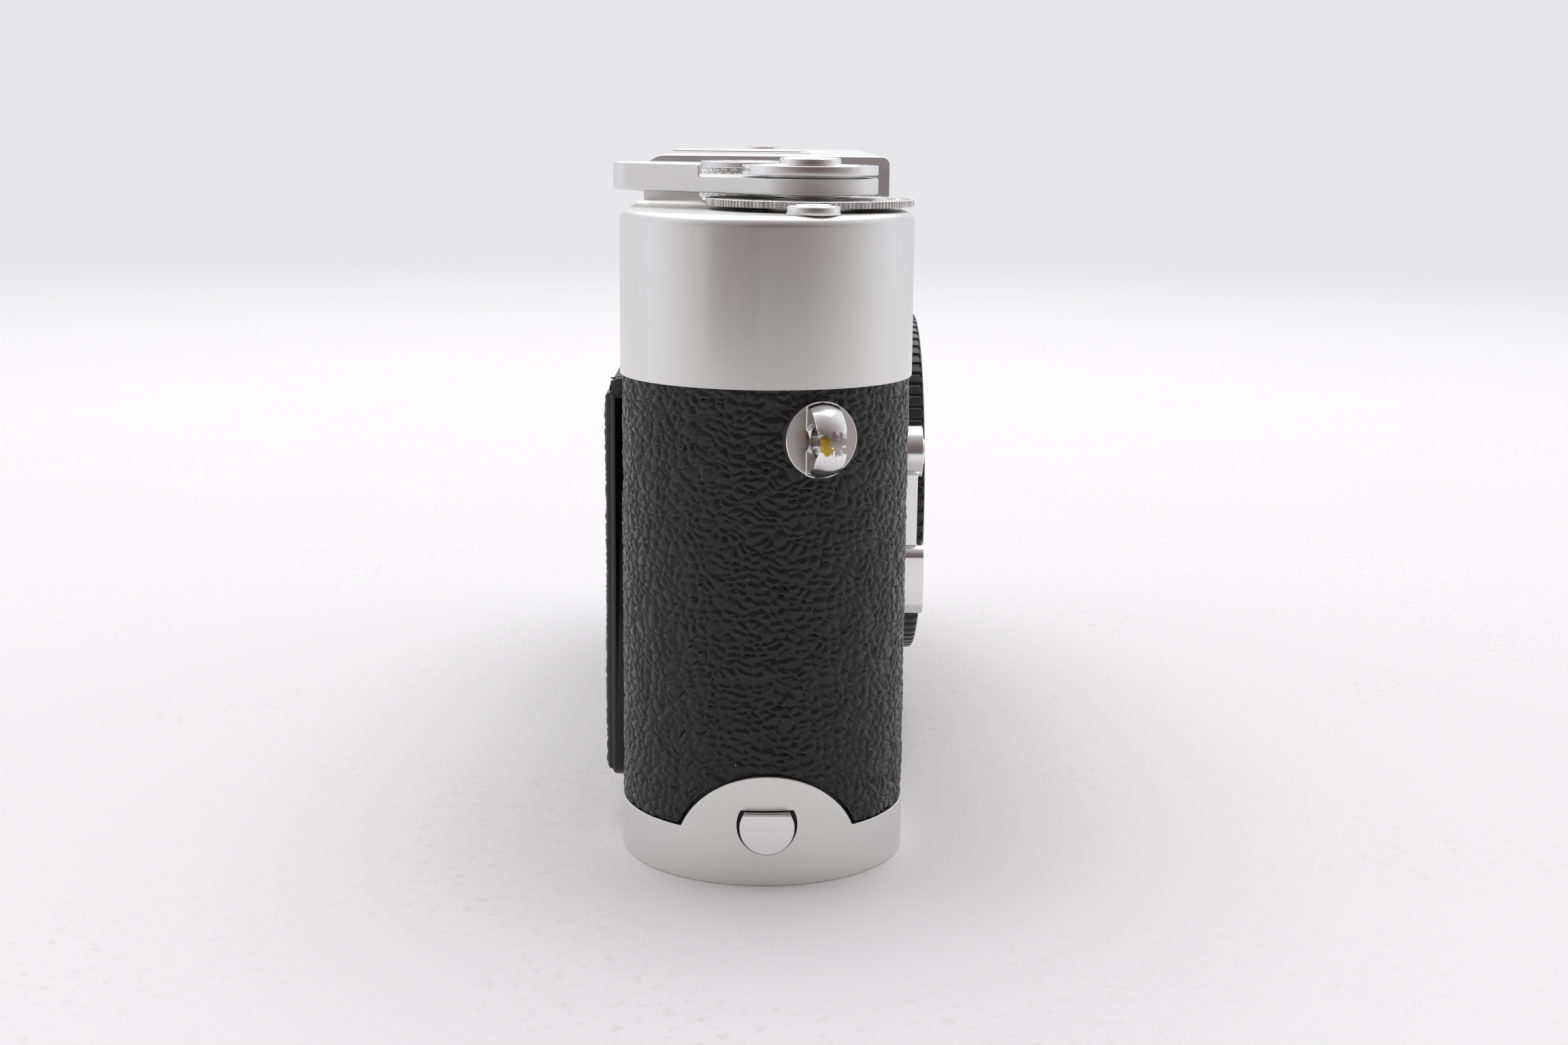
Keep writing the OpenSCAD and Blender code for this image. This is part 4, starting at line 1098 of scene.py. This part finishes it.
@dataclass
class TopControls(Assembly):
    """Wind lever, counter, button, dials and the rewind knob."""

    counter_knurl: Knurl = Knurl(150, 0.16 * MM, duty=0.35)
    dial_knurl: Knurl = Knurl(34, 0.26 * MM, lean=260.0, duty=0.3)
    rewind_knurl: Knurl = Knurl(64, 0.28 * MM, duty=0.4)
    rod: float = 1.5 * MM
    lever_bore: float = 3.5 * MM
    counter_bore: float = 4.55 * MM
    rewind_bore: float = 2.0 * MM
    button_head: float = 1.8 * MM
    dial_head: float = 4.6 * MM
    boss_head: float = 1.05 * MM
    frames: int = 40
    paint: float = 0.015 * MM

    def turned(
        self, node: str, profile: np.ndarray, slot: Slot, knurl: Knurl | None = None,
        columns: int = 128,
    ) -> None:
        """Makes a turned piece on a CAD node's upright axis, standing for that node.

        Args:
            node: the CAD node, whose lowest point is height 0.
            profile: the eased profile.
            slot: the piece's finish.
            knurl: grooves round its side.
            columns: steps round the axis.
        """
        box = Box.of(node)
        centre = Vector((box.middle.x, box.middle.y, box.low.z))
        self.fit(lathe(node + "_turned", centre, profile, columns, Axis.UP, knurl), node, slot)

    def build(self) -> None:
        """Makes each control."""
        self.lever()
        self.counter()
        self.button()
        self.speed_dial()
        self.rewind()
        self.index()

    def lever(self) -> None:
        """The lever arm, with eased edges, and the turned cap over its hub."""
        self.eased("lever_arm", Slot.SATIN, 0.22 * MM, 3)
        self.eased("wind_shaft rewind_sleeve", Slot.STEEL, 0.05 * MM, 1)
        size = Box.of("lever_cap").size
        r, h, bore = size.x / 2, size.z, self.lever_bore
        neck, step, sunk = r - 2 * MM, 0.3 * MM, 0.12 * MM
        corners = [
            (bore, 0, 0), (neck, 0, 0), (neck, step, 0), (r, step, 0), (r, h, 0),
            (r - 1.1 * MM, h, 0), (r - 1.25 * MM, h - sunk, 0), (bore + 0.5 * MM, h - sunk, 0),
            (bore, h - 0.4 * MM, 0), (bore, 0, 0),
        ]
        self.turned("lever_cap", rounded(corners, 0.09 * MM), Slot.POLISHED)

    def counter(self) -> None:
        """The frame counter: a thin disc with a fine straight knurl, lines and numbers."""
        box = Box.of("counter_disc")
        r, h = box.size.x / 2, box.size.z
        bore = min(Box.of("counter_bearing").size.x / 2, self.counter_bore)
        corners = [
            (bore, 0, 0), (r, 0, 1), (r, h, 1), (r - 0.4 * MM, h, 0), (bore, h, 0), (bore, 0, 0)
        ]
        profile = rounded(corners, 0.1 * MM)
        self.turned("counter_disc", profile, Slot.SATIN, self.counter_knurl, 720)
        top = Vector((box.middle.x, box.middle.y, box.high.z))
        line = np.arange(self.frames)
        inner = np.where(line % 5 == 0, r - 1.7 * MM, r - 1.2 * MM)
        lines = bars("counter_lines", top, Axis.UP, line * (2 * math.pi / self.frames), inner,
                     r - 0.35 * MM, 0.13 * MM, self.paint)
        labels = [str(n) for n in range(0, self.frames, 5)]
        marks = numerals("counter_numbers", labels, top, Axis.UP, r - 2.6 * MM, 1.1 * MM,
                         -2 * math.pi / len(labels), self.paint)
        self.add("counter", Slot.ENAMEL, lines, marks)

    def button(self) -> None:
        """The release button: a dished top with a threaded socket's ring."""
        size = Box.of("release_button").size
        r, h, rod = size.x / 2, size.z, self.rod
        head, socket = h - self.button_head, h - 1.6 * MM
        corners = [
            (0, 0, 0), (rod, 0, 0), (rod, head, 0), (r, head, 0), (r, h - 0.2 * MM, 0),
            (r - 0.25 * MM, h, 0), (1.5 * MM, h - 0.12 * MM, 0), (1.35 * MM, h, 0),
            (1.05 * MM, h, 0), (1.0 * MM, socket, 0), (0, socket, 0),
        ]
        self.turned("release_button", rounded(corners, 0.1 * MM), Slot.POLISHED)

    def speed_dial(self) -> None:
        """The speed dial: a crossed knurl under a plain top with numbers.

        The knurled side is cut into 25 equal steps, so that the crossed grooves show.
        """
        box = Box.of("speed_dial")
        r, h, rod = box.size.x / 2, box.size.z, self.rod
        low, sunk = h - self.dial_head, h - 0.25 * MM
        corners = [
            (0, 0, 0), (rod, 0, 0), (rod, low, 0), (r - 0.5 * MM, low, 0),
            (r - 0.4 * MM, low + 0.35 * MM, 0), (r, low + 0.5 * MM, 1), (r, h - 0.9 * MM, 1),
            (r - 0.25 * MM, h - 0.6 * MM, 0), (r - 0.3 * MM, h, 0), (1.8 * MM, h, 0),
            (1.7 * MM, sunk, 0), (0, sunk, 0),
        ]
        profile = rounded(corners, 0.12 * MM)
        side = (profile[:, 2] > 0.5).nonzero()[0]
        first, last = side[0], side[-1]
        fill = np.linspace(profile[first], profile[last], 26)
        profile = np.concatenate([profile[:first], fill, profile[last + 1:]])
        self.turned("speed_dial", profile, Slot.SATIN, self.dial_knurl, 408)
        labels = ["1", "2", "4", "8", "15", "30", "60", "125", "250", "500", "1000"]
        top = Vector((box.middle.x, box.middle.y, box.high.z))
        marks = numerals("speed_numbers", labels, top, Axis.UP, r - 1.7 * MM, 1.15 * MM,
                         -2 * math.pi / (len(labels) + 1), self.paint)
        self.add("dial", Slot.ENAMEL, marks)

    def rewind(self) -> None:
        """The rewind knob: straight knurl, a sunk top and the fork's head in its middle."""
        size = Box.of("rewind_knob").size
        r, h, bore = size.x / 2, size.z, self.rewind_bore
        sunk = h - 0.25 * MM
        corners = [
            (bore, 0, 0), (r - 0.6 * MM, 0, 0), (r - 0.5 * MM, 0.4 * MM, 0), (r, 0.6 * MM, 1),
            (r, h - 0.5 * MM, 1), (r - 0.35 * MM, h - 0.2 * MM, 0), (r - 0.5 * MM, h, 0),
            (r - 1.6 * MM, h, 0), (r - 1.75 * MM, sunk, 0), (bore, sunk, 0), (bore, 0, 0),
        ]
        profile = rounded(corners, 0.14 * MM)
        self.turned("rewind_knob", profile, Slot.SATIN, self.rewind_knurl, 640)
        self.eased("rewind_fork", Slot.POLISHED, 0.08 * MM)

    def index(self) -> None:
        """The index boss: a polished plug with a raised rim round a dished top."""
        size = Box.of("index_boss").size
        r, h, stem = size.x / 2, size.z, self.rod
        deck = h - self.boss_head
        corners = [
            (0, 0, 0), (stem, 0, 0), (stem, deck, 0), (r, deck, 0), (r, h - 0.25 * MM, 0),
            (r - 0.3 * MM, h, 0), (r - 0.75 * MM, h, 0), (r - 0.95 * MM, h - 0.3 * MM, 0),
            (0, h - 0.18 * MM, 0),
        ]
        self.turned("index_boss", rounded(corners, 0.16 * MM), Slot.POLISHED)


# ---- front and back


@dataclass
class FrontControls(Assembly):
    """Levers on the front and the ribbed mount cap."""

    cap_knurl: Knurl = Knurl(86, 0.24 * MM, duty=0.5)
    rim: float = 3.8 * MM
    throat: float = 20.3 * MM
    wall: float = 1.5 * MM

    def build(self) -> None:
        """Makes each piece."""
        levers = "self_timer_lever self_timer_screw rewind_release frame_selector"
        self.eased(levers, Slot.POLISHED, 0.14 * MM, 3)
        self.cap()

    def cap(self) -> None:
        """The mount cap: ribs round its rim, a stepped face and a hollow collar behind."""
        box = Box.of("body_cap")
        r, depth, throat, wall = box.size.x / 2, box.size.y, self.throat, self.wall
        floor, sunk, rim = depth - 1.5 * MM, depth - 0.35 * MM, depth - self.rim
        corners = [
            (0, sunk, 0), (r - 8 * MM, sunk, 0), (r - 7.4 * MM, depth, 0),
            (r - 2.0 * MM, depth, 0), (r - 0.3 * MM, depth - 0.1 * MM, 0),
            (r, depth - 0.5 * MM, 1), (r, rim + 0.3 * MM, 1), (r - 0.3 * MM, rim, 0),
            (r - wall, rim, 0), (r - wall, floor, 0), (throat, floor, 0), (throat, 0, 0),
            (throat - wall, 0, 0), (throat - wall, floor, 0), (0, floor, 0),
        ]
        centre = Vector((box.middle.x, box.high.y, box.middle.z))
        profile = rounded(corners, 0.3 * MM)
        columns = self.cap_knurl.count * 8
        made = lathe("body_cap_turned", centre, profile, columns, Axis.FRONT, self.cap_knurl)
        self.fit(made, "body_cap", Slot.PLASTIC)


@dataclass
class BackDoor(Assembly):
    """The film door, its covering and the film reminder."""

    pitch: float = 0.3 * MM
    roll: float = 1.1 * MM
    sink: float = 0.35 * MM
    swell: float = 0.4 * MM
    disc_fall: float = 4 * MM
    disc_lap: float = 0.3 * MM
    paint: float = 0.015 * MM

    def build(self) -> None:
        """Makes the door's pieces."""
        self.eased("back_door", Slot.ENAMEL, 0.5 * MM, 4)
        self.skin()
        self.eased("pressure_plate", Slot.ENAMEL, 0.12 * MM)
        self.eased("reminder_disc", Slot.SATIN, 0.1 * MM)
        box = Box.of("reminder_disc")
        face = Vector((box.middle.x, box.high.y, box.middle.z))
        r = box.size.x / 2
        labels = ["25", "50", "100", "200", "400", "800", "1600"]
        marks = numerals("reminder_numbers", labels, face, Axis.BACK, r - 2.6 * MM, 1.7 * MM,
                         -2 * math.pi / len(labels), self.paint)
        count = len(labels) * 4
        line = np.arange(count)
        inner = np.where(line % 4 == 0, r - 1.3 * MM, r - 0.9 * MM)
        lines = bars("reminder_lines", face, Axis.BACK, line * (2 * math.pi / count), inner,
                     r - 0.4 * MM, 0.16 * MM, self.paint)
        self.add("reminder", Slot.ENAMEL, marks, lines)

    def skin(self) -> None:
        """The door's covering: a grained pad whose border rolls in to the door's edge.

        Over a grid of X and Z, Y is the pad's full height times sqrt(1 - (1 - d)^2), where d is
        the distance to the border over the roll's width, at most 1. The pad swells outside the
        reminder disc and is flat beside it.
        """
        box = Box.of("door_covering")
        door = Box.of("back_door")
        disc = Box.of("reminder_disc")
        columns, rows = int(box.size.x / self.pitch), int(box.size.z / self.pitch)
        x, z = np.meshgrid(
            np.linspace(box.low.x, box.high.x, columns), np.linspace(box.low.z, box.high.z, rows)
        )
        grain = Grain(seed=23)
        lift, crease = grain.relief_at(x + 1.0, z)
        border = np.minimum.reduce([x - box.low.x, box.high.x - x, z - box.low.z, box.high.z - z])
        share = np.clip(border / self.roll, 0, 1)
        from_disc = np.hypot(x - disc.middle.x, z - disc.middle.z) - disc.size.x / 2
        full = box.high.y - door.high.y + self.swell * np.clip(from_disc / self.disc_fall, 0, 1)
        round_off = np.sqrt(1 - (1 - share) ** 2)
        relief = (lift - grain.rise) * share
        y = door.high.y - self.sink + (full + self.sink) * round_off + relief
        points = np.stack([x, y, z], axis=-1).reshape(-1, 3)
        faces = grid_faces(rows, columns, False)
        middle = points[faces].mean(axis=1)
        far = np.hypot(middle[:, 0] - disc.middle.x, middle[:, 2] - disc.middle.z)
        faces = faces[far > disc.size.x / 2 - self.disc_lap]
        made = leather_sheet("door_skin", points, faces[:, ::-1], crease, 180)
        self.fit(made, "door_covering", Slot.COVERING)


@dataclass
class Insides(Assembly):
    """What the cover, the base and the door hide: the CAD's own pieces, dressed."""

    groups = {
        Slot.CAST: ["body_shell", "light_chamber", "film_gate_frame", "cassette_chamber"],
        Slot.STEEL: ["mechanism_deck", "counter_bearing", "latch_catch", "rangefinder_arm",
                     "sprocket_roller", "curtain_roller"],
        Slot.BRASS: ["wind_gear", "idler_gear"],
        Slot.CLOTH: ["shutter_curtain"],
        Slot.ENAMEL: ["take_up_spool", "hinge_pin", "hinge_brackets"],
        Slot.GLASS: ["viewfinder_block", "rangefinder_bar"],
    }

    def build(self) -> None:
        """Dresses every CAD node that is still shown."""
        for slot, nodes in self.groups.items():
            for name in nodes:
                node = frame["nodes"][name]
                for holder in node.material_slots:
                    holder.material = self.finish[slot]
                if not node.material_slots:
                    node.data.materials.append(self.finish[slot])
                LOG.info("%s: CAD node, %s", name, slot.value)


# ---- studio


@dataclass
class Studio:
    """Floor, light and camera."""

    lens: float = 47.94
    sensor: float = 36.0
    eye: tuple[float, float, float] = (-0.2829, 0.001607, 0.0812)
    tilt: float = 10.88
    swing: float = 0.94
    roll: float = 0.58
    reach: float = 1.1
    fade: float = 0.3
    viewer: tuple[float, float, float] = (-0.97, -0.12, 0.10)
    lamp_at: tuple[float, float, float] = (0.6, 0.0, 1.3)
    aim: tuple[float, float, float] = (0.0, 0.0, 0.04)
    lamp_size: float = 1.5
    lamp_power: float = 13.5
    stops: tuple[tuple[float, Colour], ...] = (
        (0.0, (0.80, 0.795, 0.81)), (0.2, (0.80, 0.805, 0.83)), (0.42, (0.99, 1.01, 1.06)),
        (0.66, (0.60, 0.58, 0.58)), (0.88, (0.29, 0.25, 0.245)), (1.0, (0.13, 0.10, 0.10)),
    )

    def build(self) -> None:
        """Makes the studio."""
        self.floor()
        self.sky()
        self.lamp()
        self.camera()
        bpy.context.scene.view_settings.view_transform = "Standard"

    def floor(self) -> None:
        """A pale floor with faint mottling that fades into the backdrop."""
        grid = np.linspace(-self.reach, self.reach, 25)
        x, y = np.meshgrid(grid, grid)
        points = np.stack([x, y, np.zeros(x.shape)], axis=-1)
        made = object_from("floor", points, grid_faces(len(grid), len(grid), False), closed=False)
        s = Shading("pale_floor")
        far = s.node("ShaderNodeVectorMath", {"operation": "LENGTH"}, {0: s.place()}, "Value")
        patch = s.noise(45 * MM, 2).above(0.4, 0.65)
        mottle = s.noise(1.6 * MM, 5).above(0.52, 0.75) * patch
        tone = s.mix(mottle * 0.35, (0.83, 0.82, 0.82), (0.60, 0.59, 0.58))
        grain = s.bump(s.noise(0.9 * MM, 4), 0.06 * MM)
        shade = s.node("ShaderNodeBsdfPrincipled", None,
                       {"Base Color": tone, "Roughness": 0.8, "Normal": grain})
        clear = s.node("ShaderNodeBsdfTransparent")
        seen = s.node("ShaderNodeMixShader", None,
                      {0: far.above(self.fade, self.reach * 0.95), 1: shade, 2: clear})
        s.node("ShaderNodeOutputMaterial", None, {"Surface": seen})
        made.data.materials.append(s.holder)

    def sky(self) -> None:
        """Light by the angle from where a viewer stands: warm grey there, white all round."""
        s = Shading("studio", world=True)
        bpy.context.scene.world = s.holder
        ray = s.node("ShaderNodeTexCoord", output="Generated")
        inputs = {0: ray, 1: Vector(self.viewer).normalized()}
        facing = s.node("ShaderNodeVectorMath", {"operation": "DOT_PRODUCT"}, inputs, "Value")
        ramp = s.node("ShaderNodeValToRGB", {"stops": self.stops}, {0: facing * 0.5 + 0.5})
        light = s.node("ShaderNodeBackground", None, {"Color": ramp})
        s.node("ShaderNodeOutputWorld", None, {0: light})

    def lamp(self) -> None:
        """One wide square lamp overhead, behind the object, turned to aim."""
        data = bpy.data.lights.new("overhead", "AREA")
        data.size, data.energy = self.lamp_size, self.lamp_power
        made = put("overhead", data)
        made.location = self.lamp_at
        look = Vector(self.aim) - Vector(self.lamp_at)
        made.rotation_euler = look.to_track_quat("-Z", "Y").to_euler()

    def camera(self) -> None:
        """A camera that looks along +X, slightly down, with a slight roll."""
        tilt, swing, roll = (math.radians(a) for a in (self.tilt, self.swing, self.roll))
        forward = Vector((math.cos(tilt) * math.cos(swing), -math.sin(swing) * math.cos(tilt),
                          -math.sin(tilt)))
        right = forward.cross(Vector((0, 0, 1))).normalized()
        up = right.cross(forward)
        across = right * math.cos(roll) + up * math.sin(roll)
        above = up * math.cos(roll) - right * math.sin(roll)
        data = bpy.data.cameras.new("camera")
        data.lens, data.sensor_width, data.sensor_fit = self.lens, self.sensor, "HORIZONTAL"
        data.clip_start, data.clip_end = 0.01, 50
        made = put("camera", data)
        turn = Matrix((across, above, -forward)).transposed()
        made.matrix_world = Matrix.Translation(self.eye) @ turn.to_4x4()
        bpy.context.scene.camera = made


def main() -> None:
    logging.basicConfig(level=logging.INFO, format="%(name)s %(message)s")
    finish = finishes()
    for part in (Covering, Shells, TopControls, FrontControls, BackDoor, Insides):
        LOG.info("building %s", part.__name__)
        part(finish).build()
    Studio().build()


if __name__ == "__main__":
    main()
